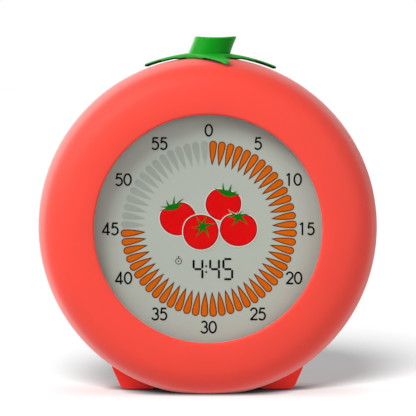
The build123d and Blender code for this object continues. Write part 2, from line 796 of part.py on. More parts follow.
# ---- Display: window, glass sandwich, light guide, frame and board ----
with BuildPart() as display_window:
    with BuildSketch(across(window_rear_y)):
        Circle(window_radius)
    extrude(amount=window_thickness)
    chamfer(display_window.edges(), window_chamfer)
finish(display_window, "display_window")

with BuildPart() as window_tape:
    with BuildSketch(across(window_front_y)):
        Circle(window_radius - tape_inset)
        Circle(opening_radius + tape_inset, mode=Mode.SUBTRACT)
    extrude(amount=tape_thickness)
finish(window_tape, "window_tape")

for layer_name, layer_front_y, layer_thickness, layer_is_clipped in (
    ("front_polariser", polariser_front_y, polariser_thickness, False),
    ("lcd_front_glass", front_glass_y, glass_thickness, False),
    ("lcd_rear_glass", rear_glass_y, glass_thickness, True),
    ("rear_reflector", reflector_y, film_thickness, True),
    ("colour_film", colour_film_y, film_thickness, True),
):
    with BuildPart() as layer:
        with BuildSketch(across(layer_front_y + layer_thickness)):
            Circle(glass_radius)
            if layer_is_clipped:
                Rectangle(2 * glass_radius, 2 * clipped_half_height, mode=Mode.INTERSECT)
        extrude(amount=layer_thickness)
    finish(layer, layer_name)

with BuildPart() as light_guide:
    with BuildSketch(across(frame_back_y)):
        Circle(glass_radius)
        Rectangle(2 * glass_radius, 2 * clipped_half_height, mode=Mode.INTERSECT)
    extrude(amount=light_guide_thickness)
    # Shallow pockets over the lamps spread their light.
    with BuildSketch(across(frame_back_y)):
        with PolarLocations(led_ring_radius, 4, start_angle=45):
            Rectangle(led_width + 2 * fit_gap, led_length + 2 * fit_gap)
    extrude(amount=light_guide_thickness / 4, mode=Mode.SUBTRACT)
finish(light_guide, "light_guide")

with BuildPart() as backlight_leds:
    with BuildSketch(across(board_front_y)):
        with PolarLocations(led_ring_radius, 4, start_angle=45):
            Rectangle(led_width, led_length)
    extrude(amount=led_height)
finish(backlight_leds, "backlight_leds")


def eared_disc(disc_radius):
    """A disc with four screw ears, shared by the display frame and the main board."""
    Circle(disc_radius)
    at_angles(ear_angles, ear_ring_radius, ear_radius)
    for angle in ear_angles:
        with PolarLocations(ear_ring_radius - disc_radius / 4, 1, start_angle=angle):
            Rectangle(disc_radius / 2, 2 * ear_radius)
    at_angles(ear_angles, ear_ring_radius, small_screw_radius + hole_clearance, Mode.SUBTRACT)


with BuildPart() as display_frame:
    with BuildSketch(across(board_front_y)):
        eared_disc(frame_outer_radius)
        with PolarLocations(led_ring_radius, 4, start_angle=45):
            Rectangle(led_width + 2 * fit_gap, led_length + 2 * fit_gap, mode=Mode.SUBTRACT)
        with GridLocations(0, 2 * zebra_offset, 1, 2):
            Rectangle(zebra_length + 2 * fit_gap, zebra_width + 2 * fit_gap, mode=Mode.SUBTRACT)
    extrude(amount=frame_back_thickness)
    with BuildSketch(across(frame_back_y)):
        Circle(frame_outer_radius)
        Circle(frame_inner_radius, mode=Mode.SUBTRACT)
    extrude(amount=frame_back_y - polariser_front_y)
finish(display_frame, "display_frame")

for zebra_name, zebra_side in (("upper_zebra_strip", 1), ("lower_zebra_strip", -1)):
    with BuildPart() as zebra_strip:
        with BuildSketch(across(board_front_y)):
            with Locations((0, zebra_side * zebra_offset)):
                Rectangle(zebra_length, zebra_width)
        extrude(amount=board_front_y - rear_glass_y)
    finish(zebra_strip, zebra_name)

with BuildPart() as main_board:
    with BuildSketch(across(board_rear_y)):
        eared_disc(main_board_radius)
    extrude(amount=board_thickness)
finish(main_board, "main_board")

with BuildPart() as controller_chip:
    with BuildSketch(across(board_rear_y)):
        with Locations(chip_position):
            RectangleRounded(chip_width, chip_width, chip_width / 25)
    extrude(amount=-chip_height)
finish(controller_chip, "controller_chip")

with BuildPart() as crystal:
    with BuildSketch(across(board_rear_y)):
        with Locations(crystal_position):
            SlotOverall(crystal_length, crystal_width)
    extrude(amount=-crystal_height)
finish(crystal, "crystal")

# ---- Screws ----
with BuildPart() as display_screws:
    with BuildSketch(across(board_rear_y)):
        at_angles(ear_angles, ear_ring_radius, small_screw_head_radius)
    extrude(amount=-small_screw_head_height)
    with BuildSketch(across(board_rear_y)):
        at_angles(ear_angles, ear_ring_radius, small_screw_radius)
    extrude(amount=small_screw_length)
finish(display_screws, "display_screws")

with BuildPart() as shell_screws:
    with BuildSketch(across(screw_seat_y)):
        at_angles(shell_post_angles, post_ring_radius, shell_screw_head_radius)
    extrude(amount=-shell_screw_head_height)
    with BuildSketch(across(screw_seat_y)):
        at_angles(shell_post_angles, post_ring_radius, shell_screw_radius)
    extrude(amount=shell_screw_length)
finish(shell_screws, "shell_screws")

# ---- Rear board with its switches, buzzer and screws ----
with BuildPart() as rear_board:
    with BuildSketch(across(rear_board_y)):
        with Locations((0, rear_board_above_centre)):
            RectangleRounded(rear_board_length, rear_board_height, 2)
            with GridLocations(screw_spacing_x, screw_spacing_z, 2, 2):
                Circle(small_screw_radius + hole_clearance, mode=Mode.SUBTRACT)
    extrude(amount=board_thickness)
finish(rear_board, "rear_board")

with BuildPart() as rear_board_screws:
    with BuildSketch(across(rear_board_y - board_thickness)):
        with Locations((0, rear_board_above_centre)):
            with GridLocations(screw_spacing_x, screw_spacing_z, 2, 2):
                Circle(small_screw_head_radius)
    extrude(amount=small_screw_head_height)
    with BuildSketch(across(rear_board_y - board_thickness)):
        with Locations((0, rear_board_above_centre)):
            with GridLocations(screw_spacing_x, screw_spacing_z, 2, 2):
                Circle(small_screw_radius)
    extrude(amount=-small_screw_length)
finish(rear_board_screws, "rear_board_screws")

with BuildPart() as buzzer:
    with BuildSketch(across(rear_board_y)):
        with Locations((0, buzzer_above_centre)):
            Circle(buzzer_radius)
    extrude(amount=-buzzer_height)
    with BuildSketch(across(rear_board_y + buzzer_height)):
        with Locations((0, buzzer_above_centre)):
            Circle(grille_hole_radius)
    extrude(amount=buzzer_height / 3, mode=Mode.SUBTRACT)
    fillet(buzzer.faces().sort_by(Axis.Y)[-1].outer_wire().edges(), moulded_edge)
finish(buzzer, "buzzer")

for control, control_x in (("mode", button_spacing / 2), ("set", -button_spacing / 2)):
    with BuildPart() as tact_switch:
        with BuildSketch(across(rear_board_y)):
            with Locations((control_x, panel_above_centre)):
                RectangleRounded(tact_width, tact_width, moulded_edge)
        extrude(amount=-switch_height)
        with BuildSketch(across(switch_top_y)):
            with Locations((control_x, panel_above_centre)):
                Circle(tact_plunger_radius + fit_gap / 2)
        extrude(amount=switch_height / 2, mode=Mode.SUBTRACT)
    finish(tact_switch, f"{control}_tact_switch")

    with BuildPart() as tact_plunger:
        with BuildSketch(across(plunger_top_y)):
            with Locations((control_x, panel_above_centre)):
                Circle(tact_plunger_radius)
        extrude(amount=tact_plunger_rise + switch_height / 2 - button_travel - fit_gap)
    finish(tact_plunger, f"{control}_tact_plunger")

    with BuildPart() as button:
        flange_y = panel_inner_y - button_clearance
        with BuildSketch(across(button_rear_y)):
            with Locations((control_x, panel_above_centre)):
                Circle(button_radius)
        extrude(amount=button_rear_y - plunger_top_y)
        with BuildSketch(across(flange_y)):
            with Locations((control_x, panel_above_centre)):
                Circle(button_flange_radius)
        extrude(amount=button_flange_height)
        fillet(button.edges().group_by(Axis.Y)[-1], button_edge_radius)
    finish(button, f"{control}_button")

with BuildPart() as slide_switch:
    with BuildSketch(across(rear_board_y)):
        with Locations((0, panel_above_centre)):
            Rectangle(slide_switch_length, slide_switch_width)
    extrude(amount=-switch_height)
    with BuildSketch(across(switch_top_y)):
        with Locations((0, panel_above_centre)):
            Rectangle(
                slider_pin_length + 2 * (slider_travel + button_clearance),
                slider_pin_width + 2 * fit_gap,
            )
    extrude(amount=switch_height / 2, mode=Mode.SUBTRACT)
finish(slide_switch, "slide_switch")

with BuildPart() as sound_slider:
    slider_flange_y = panel_inner_y - button_clearance
    with BuildSketch(across(button_rear_y)):
        with Locations((0, panel_above_centre)):
            Rectangle(slider_cap_length, slider_cap_width)
    extrude(amount=button_rear_y - slider_flange_y)
    # Grip grooves across the cap.
    with BuildSketch(across(button_rear_y)):
        with Locations((0, panel_above_centre)):
            with GridLocations(slider_cap_length / 4, 0, 3, 1):
                Rectangle(slider_cap_length / 10, slider_cap_width)
    extrude(amount=slider_groove_depth, mode=Mode.SUBTRACT)
    with BuildSketch(across(slider_flange_y)):
        with Locations((0, panel_above_centre)):
            Rectangle(slider_flange_length, slider_flange_width)
    extrude(amount=slider_flange_height)
    with BuildSketch(across(slider_flange_y)):
        with Locations((0, panel_above_centre)):
            Rectangle(slider_pin_length, slider_pin_width)
    extrude(amount=slider_flange_y - switch_top_y + switch_height / 2 - fit_gap)
finish(sound_slider, "sound_slider")

# ---- Battery cells, contacts and door ----
# The upper cell's plus end is on the right, the lower cell's on the left.
cell_rows = (
    (1, -bay_below_centre + cell_spacing / 2),
    (-1, -bay_below_centre - cell_spacing / 2),
)
cell_offset = (spring_length - dimple_height) / 2


def from_side(x, facing):
    """Plane at x across the cells' axes: local x is up, extrusion runs towards facing (+1 or -1)."""
    return Plane(origin=(x, cell_y, centre_height), x_dir=(0, 0, 1), z_dir=(facing, 0, 0))


with BuildPart() as battery_cells:
    for plus_side, row in cell_rows:
        minus_end_x = plus_side * (cell_offset - cell_length / 2)
        with BuildSketch(from_side(minus_end_x, plus_side)):
            with Locations((row, 0)):
                Circle(cell_radius)
        extrude(amount=cell_length - cell_nub_length)
        with BuildSketch(from_side(minus_end_x, plus_side)):
            with Locations((row, 0)):
                Circle(cell_nub_radius)
        extrude(amount=cell_length)
finish(battery_cells, "battery_cells")


def contact(name, side, rows, dimple_row=None, spring_row=None):
    """Flat plate on the bay's end wall, with a dimple for a plus end and a coil for a minus end."""
    wall_x = side * bay_length / 2
    plate_x = side * (bay_length / 2 - contact_thickness)
    with BuildPart() as piece:
        with BuildSketch(from_side(wall_x, -side)):
            with Locations((sum(rows) / len(rows), 0)):
                Rectangle(max(rows) - min(rows) + contact_width, contact_width)
        extrude(amount=contact_thickness)
        if dimple_row is not None:
            with BuildSketch(from_side(plate_x, -side)):
                with Locations((dimple_row, 0)):
                    Circle(dimple_radius)
            extrude(amount=dimple_height, taper=30)
        if spring_row is not None:
            coil_height = spring_length - 2 * spring_wire_radius
            with BuildLine():
                coil = Helix(
                    pitch=coil_height / spring_turns,
                    height=coil_height,
                    radius=spring_radius,
                    center=(plate_x - side * spring_wire_radius / 2, cell_y, centre_height + spring_row),
                    direction=(-side, 0, 0),
                )
            with BuildSketch(Plane(origin=coil @ 0, z_dir=coil % 0)):
                Circle(spring_wire_radius)
            sweep(path=coil, is_frenet=True)
    finish(piece, name)


upper_row = cell_rows[0][1]
lower_row = cell_rows[1][1]
contact("negative_contact", -1, (upper_row,), spring_row=upper_row)
contact("positive_contact", -1, (lower_row,), dimple_row=lower_row)
contact("link_contact", 1, (upper_row, lower_row), dimple_row=upper_row, spring_row=lower_row)

with BuildPart() as battery_door:
    door_height = hinge_z - door_bottom_z
    with BuildSketch(across(door_inner_y)):
        with Locations((0, (hinge_z + door_bottom_z) / 2 - centre_height)):
            Rectangle(2 * door_half_length, door_height)
    extrude(amount=-door_thickness)
    with BuildSketch(Plane(origin=(-door_half_length, hinge_y, hinge_z), x_dir=(0, 1, 0), z_dir=(1, 0, 0))):
        Circle(hinge_radius)
    extrude(amount=2 * door_half_length)
    pin_reach = door_half_length + hinge_pin_length
    with BuildSketch(Plane(origin=(-pin_reach, hinge_y, hinge_z), x_dir=(0, 1, 0), z_dir=(1, 0, 0))):
        Circle(hinge_pin_radius)
    extrude(amount=2 * pin_reach)
    # Latch finger inside the bay's lower wall, and grip grooves on the outside.
    with BuildSketch(across(door_inner_y)):
        with Locations((0, bay_bottom_z + door_gap + latch_thickness / 2 - centre_height)):
            Rectangle(latch_width, latch_thickness)
    extrude(amount=latch_reach)
    with BuildSketch(across(back_y)):
        with Locations((0, door_bottom_z + door_grip_height - centre_height)):
            with GridLocations(0, door_grip_pitch, 1, 3):
                SlotOverall(door_grip_length, door_grip_width)
    extrude(amount=door_grip_depth, mode=Mode.SUBTRACT)
finish(battery_door, "battery_door")
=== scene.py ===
"""A round tomato-shaped countdown timer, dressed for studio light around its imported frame."""
import json
import math

import bmesh
import bpy
import numpy as np
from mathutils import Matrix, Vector


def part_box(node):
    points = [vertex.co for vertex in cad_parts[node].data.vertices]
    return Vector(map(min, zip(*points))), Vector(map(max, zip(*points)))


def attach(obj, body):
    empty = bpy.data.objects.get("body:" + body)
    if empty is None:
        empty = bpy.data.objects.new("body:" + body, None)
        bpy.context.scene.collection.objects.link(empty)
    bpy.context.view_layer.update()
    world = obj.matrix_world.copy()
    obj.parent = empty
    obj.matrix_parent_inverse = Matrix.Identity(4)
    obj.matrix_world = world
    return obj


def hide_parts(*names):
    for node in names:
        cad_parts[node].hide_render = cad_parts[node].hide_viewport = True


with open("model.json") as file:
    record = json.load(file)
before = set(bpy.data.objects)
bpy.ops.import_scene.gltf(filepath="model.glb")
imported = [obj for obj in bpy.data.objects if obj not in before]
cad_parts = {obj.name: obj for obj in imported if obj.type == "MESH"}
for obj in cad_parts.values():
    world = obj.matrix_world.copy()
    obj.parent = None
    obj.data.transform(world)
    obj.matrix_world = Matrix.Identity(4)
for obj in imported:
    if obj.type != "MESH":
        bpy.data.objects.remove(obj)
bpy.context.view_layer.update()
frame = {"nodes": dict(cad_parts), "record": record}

MM = 0.001
scene = bpy.context.scene
nodes = frame["nodes"]
bodies = frame["record"]["behaviour"]["bodies"]
body_of_node = {node: body for body, members in bodies.items() for node in members}
slot_of_node = {part["node"]: part["material_slot"] for part in frame["record"]["subparts"]}

# ---- Sizes in millimetres, read from the frame ----
shell_low, shell_high = (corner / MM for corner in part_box("front_shell"))
window_low, window_high = (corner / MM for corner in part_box("display_window"))
face_low, face_high = (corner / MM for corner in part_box("front_polariser"))
knob_low, knob_high = (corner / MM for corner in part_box("stem_knob"))
BODY_RADIUS = (shell_high.x - shell_low.x) / 2
FRONT = shell_low.y
PARTING = shell_high.y
CROWN = shell_high.z
CENTRE = CROWN - BODY_RADIUS
WINDOW_RADIUS = (window_high.x - window_low.x) / 2
KNOB_Y = (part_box("encoder_washer")[0].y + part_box("encoder_washer")[1].y) / 2 / MM


# ---- Mesh helpers ----
# The turn in degrees from which an edge stays sharp.
SHARP = 32


def shade(mesh, sharp):
    """Smooth shading, except at edges that turn more than sharp degrees."""
    mesh.shade_smooth()
    mesh.set_sharp_from_angle(angle=math.radians(sharp))


def piece(name, points, faces, sharp=SHARP):
    """A mesh object from points in millimetres."""
    mesh = bpy.data.meshes.new(name)
    mesh.from_pydata([tuple(c * MM for c in p) for p in points], [], faces)
    mesh.validate()
    shade(mesh, sharp)
    made = bpy.data.objects.new(name, mesh)
    scene.collection.objects.link(made)
    return made


def dress(made, material, body, slot, *replaced):
    """Gives a piece its material and its moving body, and hides the nodes that it stands for; slot
    is not used.
    """
    made.data.materials.clear()
    made.data.materials.append(material)
    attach(made, body)
    if replaced:
        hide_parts(*replaced)
    return made


def tidy(made, sharp=SHARP):
    """Welds doubled points, turns the faces outwards and renews the shading."""
    work = bmesh.new()
    work.from_mesh(made.data)
    bmesh.ops.remove_doubles(work, verts=work.verts, dist=1e-7)
    bmesh.ops.dissolve_degenerate(work, edges=work.edges, dist=1e-8)
    bmesh.ops.recalc_face_normals(work, faces=work.faces)
    work.to_mesh(made.data)
    work.free()
    shade(made.data, sharp)
    return made


def cut(made, *tools):
    """Takes the tools' shapes out of a piece and deletes the tools."""
    for tool in tools:
        step = made.modifiers.new("cut", "BOOLEAN")
        step.operation = "DIFFERENCE"
        step.solver = "EXACT"
        step.object = tool
    done = made.evaluated_get(bpy.context.evaluated_depsgraph_get())
    mesh = bpy.data.meshes.new_from_object(done)
    made.modifiers.clear()
    old = made.data
    made.data = mesh
    bpy.data.meshes.remove(old)
    mesh.name = made.name
    for tool in tools:
        bpy.data.objects.remove(tool)
    return made


def join(name, objects, sharp):
    """One object from several, by adding up their meshes."""
    points, faces = [], []
    for each in objects:
        base = len(points)
        points += [tuple(v.co / MM) for v in each.data.vertices]
        faces += [tuple(base + i for i in p.vertices) for p in each.data.polygons]
        bpy.data.objects.remove(each)
    return piece(name, points, faces, sharp)


def full_turn(count):
    """Evenly spaced angles round a circle, in radians."""
    return [2 * math.pi * k / count for k in range(count)]


def arc(centre, radius, start, turn, steps):
    """Points on an arc in degrees, counter-clockwise when turn is positive."""
    return ellipse(centre, radius, radius, start, turn, steps)


def ellipse(centre, a, b, start=0.0, turn=360.0, steps=40):
    """Points on an ellipse's arc, in degrees."""
    angles = np.radians(np.linspace(start, start + turn, steps + 1))
    return [(centre[0] + a * math.cos(t), centre[1] + b * math.sin(t)) for t in angles]


def band(first, second, count):
    """Faces between two closed loops of count points, which start at first and at second."""
    pairs = [(k, (k + 1) % count) for k in range(count)]
    return [(first + k, first + after, second + after, second + k) for k, after in pairs]


def lathe(name, profile, segments, sharp=SHARP, axis="body"):
    """A closed profile turned round the body's level axis (y, r) or the knob's axis (z, r)."""
    count = len(profile)
    points, faces = [], []
    for k, turn in enumerate(full_turn(segments)):
        for along, radius in profile:
            if axis == "body":
                points.append((radius * math.sin(turn), along, CENTRE + radius * math.cos(turn)))
            else:
                points.append((radius * math.cos(turn), KNOB_Y + radius * math.sin(turn), along))
        faces += band(k * count, (k + 1) % segments * count, count)
    return tidy(piece(name, points, faces, sharp), sharp)


def upright_cylinder(name, centre, radius, length, segments=96):
    """A plain closed cylinder for cutting, standing on centre."""
    points = []
    for rise in (0, length):
        for turn in full_turn(segments):
            flat = (radius * math.cos(turn), radius * math.sin(turn), rise)
            points.append(tuple(c + f for c, f in zip(centre, flat)))
    faces = [tuple(range(segments)), tuple(range(segments, 2 * segments))]
    return tidy(piece(name, points, faces + band(0, segments, segments)))


def block(name, low, high):
    """A plain closed box for cutting."""
    xs, ys, zs = zip(low, high)
    points = [(x, y, z) for x in xs for y in ys for z in zs]
    faces = [(0, 1, 3, 2), (4, 6, 7, 5), (0, 4, 5, 1), (2, 3, 7, 6), (0, 2, 6, 4), (1, 5, 7, 3)]
    return tidy(piece(name, points, faces))


# ---- Node helpers ----
def set_inputs(node, inputs):
    """Sets a node's inputs by name. An underscore stands for a space in the name."""
    for socket, value in inputs.items():
        node.inputs[socket.replace("_", " ")].default_value = value


def add_node(tree, kind, **inputs):
    """A new node with its inputs set."""
    made = tree.nodes.new(kind)
    set_inputs(made, inputs)
    return made


def link(output, target):
    """Joins two sockets of one node tree."""
    target.id_data.links.new(output, target)


def math_step(tree, operation, first, second):
    """The result of a Math node that takes an output and either an output or a number."""
    made = tree.nodes.new("ShaderNodeMath")
    made.operation = operation
    link(first, made.inputs[0])
    if isinstance(second, bpy.types.NodeSocket):
        link(second, made.inputs[1])
    else:
        made.inputs[1].default_value = second
    return made.outputs[0]


def any_ray(tree, *rays):
    """1 for the named kinds of ray, else 0."""
    path = tree.nodes.new("ShaderNodeLightPath")
    total = path.outputs[rays[0]]
    for ray in rays[1:]:
        total = math_step(tree, "MAXIMUM", total, path.outputs[ray])
    return total


def either_shader(tree, factor, at_zero, at_one):
    """Chooses between two shaders by a factor of 0 or 1."""
    mix = tree.nodes.new("ShaderNodeMixShader")
    link(factor, mix.inputs[0])
    link(at_zero.outputs[0], mix.inputs[1])
    link(at_one.outputs[0], mix.inputs[2])
    return mix


# ---- Materials ----
# The mottling runs from the darker to the lighter shade between these values of its noise.
MOTTLE_LOW, MOTTLE_HIGH = 0.3, 0.7
# The gloss varies this much to each side, in patches that are so many times finer.
GLOSS_SPREAD, GLOSS_SCALE = 0.04, 5
GRAIN_STRENGTH = 0.5


def surface(name, color, roughness, spread=0.02, patch=60.0, grain=2600.0, depth=0.00001, **inputs):
    """Principled finish with broad colour mottling, slightly uneven gloss and a moulded grain."""
    material = bpy.data.materials.new(name)
    material.use_nodes = True
    tree = material.node_tree
    shader = tree.nodes["Principled BSDF"]
    place = tree.nodes.new("ShaderNodeTexCoord")

    def noise(scale, detail):
        made = add_node(tree, "ShaderNodeTexNoise", Scale=scale, Detail=detail)
        link(place.outputs["Object"], made.inputs["Vector"])
        return made.outputs["Fac"]

    ramp = tree.nodes.new("ShaderNodeValToRGB")
    shades = zip(ramp.color_ramp.elements, (MOTTLE_LOW, MOTTLE_HIGH), (1 - spread, 1 + spread))
    for element, position, factor in shades:
        element.position = position
        element.color = (*(min(c * factor, 1.0) for c in color), 1.0)
    link(noise(patch, 4.0), ramp.inputs["Fac"])
    link(ramp.outputs["Color"], shader.inputs["Base Color"])

    dull, shiny = roughness + GLOSS_SPREAD, max(roughness - GLOSS_SPREAD, 0.0)
    gloss = add_node(tree, "ShaderNodeMapRange", To_Min=shiny, To_Max=dull)
    link(noise(patch * GLOSS_SCALE, 3.0), gloss.inputs["Value"])
    link(gloss.outputs["Result"], shader.inputs["Roughness"])

    if depth:
        bump = add_node(tree, "ShaderNodeBump", Strength=GRAIN_STRENGTH, Distance=depth)
        link(noise(grain, 2.0), bump.inputs["Height"])
        link(bump.outputs["Normal"], shader.inputs["Normal"])
    set_inputs(shader, inputs)
    return material


# One finish for each material slot of the frame, and three more: rear_red_painted_light, calyx_green, leaf_painted_shade.
FINISHES = {
    "shell_red": dict(
        color=(0.76, 0.0535, 0.0345), roughness=0.56, depth=0.000012,
        Specular_IOR_Level=0.22, Sheen_Weight=0.3, Sheen_Roughness=0.38,
    ),
    # A lighter red for the back and feet, painted light against their shade, with less sheen.
    "rear_red_painted_light": dict(
        color=(0.92, 0.03, 0.018), roughness=0.52, depth=0.000012,
        Specular_IOR_Level=0.3, Sheen_Weight=0.15, Sheen_Roughness=0.38,
    ),
    "leaf_green": dict(
        color=(0.001, 0.25, 0.005), roughness=0.4, spread=0.06, patch=140.0,
        Specular_IOR_Level=0.1,
    ),
    "calyx_green": dict(
        color=(0.003, 0.28, 0.008), roughness=0.42, spread=0.06, patch=140.0,
        Specular_IOR_Level=0.25,
    ),
    # Near-black green that paints shade onto the calyx's undersides and tip edges.
    "leaf_painted_shade": dict(
        color=(0.001, 0.02, 0.004), roughness=0.6, spread=0.1, patch=140.0,
        Specular_IOR_Level=0.1,
    ),
    "clear_window": dict(
        color=(0.04, 0.04, 0.04), roughness=0.08, spread=0.1, depth=0,
        Alpha=0.03, Specular_IOR_Level=0.15,
    ),
    "display_face": dict(
        color=(0.396, 0.43, 0.375), roughness=0.62, spread=0.015, patch=35.0, grain=5200.0,
        Specular_IOR_Level=0.2,
    ),
    "display_glass": dict(
        color=(0.8, 0.86, 0.83), roughness=0.1, spread=0.03, depth=0, Alpha=0.3
    ),
    "reflector_film": dict(color=(0.74, 0.75, 0.73), roughness=0.3, Metallic=0.8),
    "printed_film": dict(color=(0.78, 0.33, 0.08), roughness=0.5),
    "white_plastic": dict(color=(0.8, 0.8, 0.77), roughness=0.5),
    "adhesive_tape": dict(
        color=(0.03, 0.03, 0.03), roughness=0.85, grain=900.0, depth=0.00004
    ),
    "circuit_board": dict(
        color=(0.015, 0.13, 0.05), roughness=0.35, spread=0.12, patch=300.0
    ),
    "black_plastic": dict(color=(0.02, 0.02, 0.022), roughness=0.45, spread=0.1),
    "plated_steel": dict(
        color=(0.62, 0.61, 0.58), roughness=0.28, spread=0.08, patch=500.0, Metallic=1.0
    ),
    "nickel": dict(
        color=(0.68, 0.65, 0.58), roughness=0.2, spread=0.05, patch=400.0, Metallic=1.0
    ),
    "conductive_rubber": dict(color=(0.04, 0.04, 0.04), roughness=0.7, spread=0.1),
    "led_white": dict(color=(0.85, 0.82, 0.6), roughness=0.3),
    "cell_sleeve": dict(color=(0.03, 0.03, 0.032), roughness=0.25, spread=0.1),
    "pad_rubber": dict(
        color=(0.05, 0.05, 0.052), roughness=0.75, spread=0.15, grain=1500.0, depth=0.00003
    ),
}
finish = {name: surface(name, **looks) for name, looks in FINISHES.items()}

# The feet and the back are a purer, lighter red than the ring: painted light that lifts the feet
# out of the shade behind the body.
REAR_NODES = ("rear_shell", "battery_door")
for node, made in nodes.items():
    for place in made.material_slots:
        place.material = finish["rear_red_painted_light" if node in REAR_NODES else slot_of_node[node]]

# ---- The body's skin: tangent arcs, as in the solids ----
SIDE_RADIUS, SIDE_TURN = 40.0, 18.0
SHOULDER_RADIUS, SHOULDER_TURN = 10.5, 56.0
FACE_TURN = 90 - SIDE_TURN - SHOULDER_TURN
OPENING_RADIUS, LIP = 36.7, 0.8
REAR_SHOULDER, REAR_TURN, BACK_FLAT = 10.0, 64.0, 38.3
SIDE_STEPS, SHOULDER_STEPS, FACE_STEPS = 14, 30, 12
REAR_STEPS, BACK_STEPS = 26, 12
side_end = math.radians(SIDE_TURN)
shoulder_end = math.radians(SIDE_TURN + SHOULDER_TURN)
rear_end = math.radians(REAR_TURN)
face_radius = (
    BODY_RADIUS
    - OPENING_RADIUS
    - LIP
    - SIDE_RADIUS * (1 - math.cos(side_end))
    - SHOULDER_RADIUS * (math.cos(side_end) - math.cos(shoulder_end))
) / math.cos(shoulder_end)
belt_front = (
    FRONT
    + SIDE_RADIUS * math.sin(side_end)
    + SHOULDER_RADIUS * (math.sin(shoulder_end) - math.sin(side_end))
    + face_radius * (1 - math.sin(shoulder_end))
)
back_radius = (
    BODY_RADIUS - BACK_FLAT - REAR_SHOULDER * (1 - math.cos(rear_end))
) / math.cos(rear_end)


def front_skin(inset, detail=1.0):
    """The front's three tangent arcs from the belt to the rim, drawn inset inside the skin."""
    side = (belt_front, BODY_RADIUS - SIDE_RADIUS)
    reach = SIDE_RADIUS - SHOULDER_RADIUS
    shoulder = (side[0] - reach * math.sin(side_end), side[1] + reach * math.cos(side_end))
    reach = SHOULDER_RADIUS - face_radius
    face = (
        shoulder[0] - reach * math.sin(shoulder_end),
        shoulder[1] + reach * math.cos(shoulder_end),
    )
    steps = [int(count * detail) for count in (SIDE_STEPS, SHOULDER_STEPS, FACE_STEPS)]
    first = arc(side, SIDE_RADIUS - inset, 90, SIDE_TURN, steps[0])
    second = arc(shoulder, SHOULDER_RADIUS - inset, 90 + SIDE_TURN, SHOULDER_TURN, steps[1])
    third = arc(face, face_radius - inset, 180 - FACE_TURN, FACE_TURN, steps[2])
    return first + second[1:] + third[1:]


def rear_skin(inset):
    """The rear's two tangent arcs from the parting plane to the flat back."""
    shoulder = (PARTING, BODY_RADIUS - REAR_SHOULDER)
    reach = REAR_SHOULDER - back_radius
    back = (shoulder[0] + reach * math.sin(rear_end), shoulder[1] + reach * math.cos(rear_end))
    first = arc(shoulder, REAR_SHOULDER - inset, 90, -REAR_TURN, REAR_STEPS)
    second = arc(back, back_radius - inset, 90 - REAR_TURN, REAR_TURN - 90, BACK_STEPS)
    return first + second[1:]


# ---- Front shell ----
WALL = 2.4
SEAM, TONGUE = 0.3, 1.35
TAPE, SEAT_PLAY, SEAT_RIM = 0.3, 0.2, 1.7
WELL_RADIUS, WELL_BELOW_KNOB = 8.5, 3.2
BODY_SEGMENTS = 256
# The cutting tools' sizes, which reach past the shell.
WELL_CUT, BEYOND, BELOW = 20, 60, 10
seat = window_low.y - TAPE
seat_radius = WINDOW_RADIUS + SEAT_PLAY
rim_radius = WINDOW_RADIUS + SEAT_RIM
profile = (
    front_skin(0)
    + arc((FRONT + LIP, OPENING_RADIUS + LIP), LIP, 180, 90, 8)[1:]
    + [
        (seat, OPENING_RADIUS),
        (seat, seat_radius),
        (window_high.y, seat_radius),
        (window_high.y, rim_radius),
        (FRONT + WALL, rim_radius),
    ]
    + front_skin(WALL, 0.5)[::-1]
    + [
        (PARTING - TONGUE, BODY_RADIUS - WALL),
        (PARTING - TONGUE, BODY_RADIUS - WALL / 2),
        (PARTING, BODY_RADIUS - WALL / 2),
    ]
    + arc((PARTING - SEAM, BODY_RADIUS - SEAM), SEAM, 0, 90, 4)
)
front_shell = lathe("front_shell_skin", profile, BODY_SEGMENTS)
well_floor = (0, KNOB_Y, knob_low.z - WELL_BELOW_KNOB)
cut(
    front_shell,
    upright_cylinder("well_cut", well_floor, WELL_RADIUS, WELL_CUT),
    block("floor_cut", (-BEYOND, -BEYOND, -BELOW), (BEYOND, BEYOND, 0)),
)
tidy(front_shell)
dress(front_shell, finish["shell_red"], body_of_node["front_shell"], "shell_red", "front_shell")

# ---- Stem knob: a flange in the well, then a slightly waisted stalk that leans to the right ----
FLANGE_TOP = CROWN - 0.9
FLANGE, FLANGE_EDGE = 8.2, 0.25
LEAN_START = CROWN - 0.1
LEAN, LEAN_BEND = 2.5, 1.06
STALK, STALK_TOP, STALK_WAIST = 7.0, 6.8, 0.12
EDGE, DISH = 0.45, 60.0
BORE, BORE_TOP = 3.05, knob_high.z - 2.0
# The rings above this height follow the hollow of the top.
HOLLOW_FROM = knob_high.z - EDGE - 0.5
STALK_STEPS, SPOKES = 22, 128
STEM_SHARP = 40
hollow_depth = DISH - math.sqrt(DISH**2 - STALK_TOP**2)
rings = [
    (knob_low.z, BORE, 0.0),
    (knob_low.z, FLANGE - FLANGE_EDGE, 0.0),
    (knob_low.z + FLANGE_EDGE, FLANGE, 0.0),
    (FLANGE_TOP - FLANGE_EDGE, FLANGE, 0.0),
    (FLANGE_TOP, FLANGE - FLANGE_EDGE, 0.0),
    (FLANGE_TOP, STALK, 0.0),
]
for i in range(STALK_STEPS + 1):
    rise = i / STALK_STEPS
    height = LEAN_START + rise * (knob_high.z - EDGE - LEAN_START)
    radius = STALK + (STALK_TOP - STALK) * rise - STALK_WAIST * math.sin(math.pi * rise)
    rings.append((height, radius, LEAN * rise**LEAN_BEND))
for turn in (22, 45, 68, 90):
    height = knob_high.z - EDGE + EDGE * math.sin(math.radians(turn))
    radius = STALK_TOP - EDGE + EDGE * math.cos(math.radians(turn))
    rings.append((height, radius, LEAN))
for share in (0.9, 0.75, 0.6, 0.45, 0.3, 0.15):
    rings.append((knob_high.z, (STALK_TOP - EDGE) * share, LEAN))


def hollow(across):
    """How far the stem's hollow top lies below its rim, at a distance across from its middle."""
    return hollow_depth - (DISH - math.sqrt(DISH**2 - min(abs(across), STALK_TOP) ** 2))


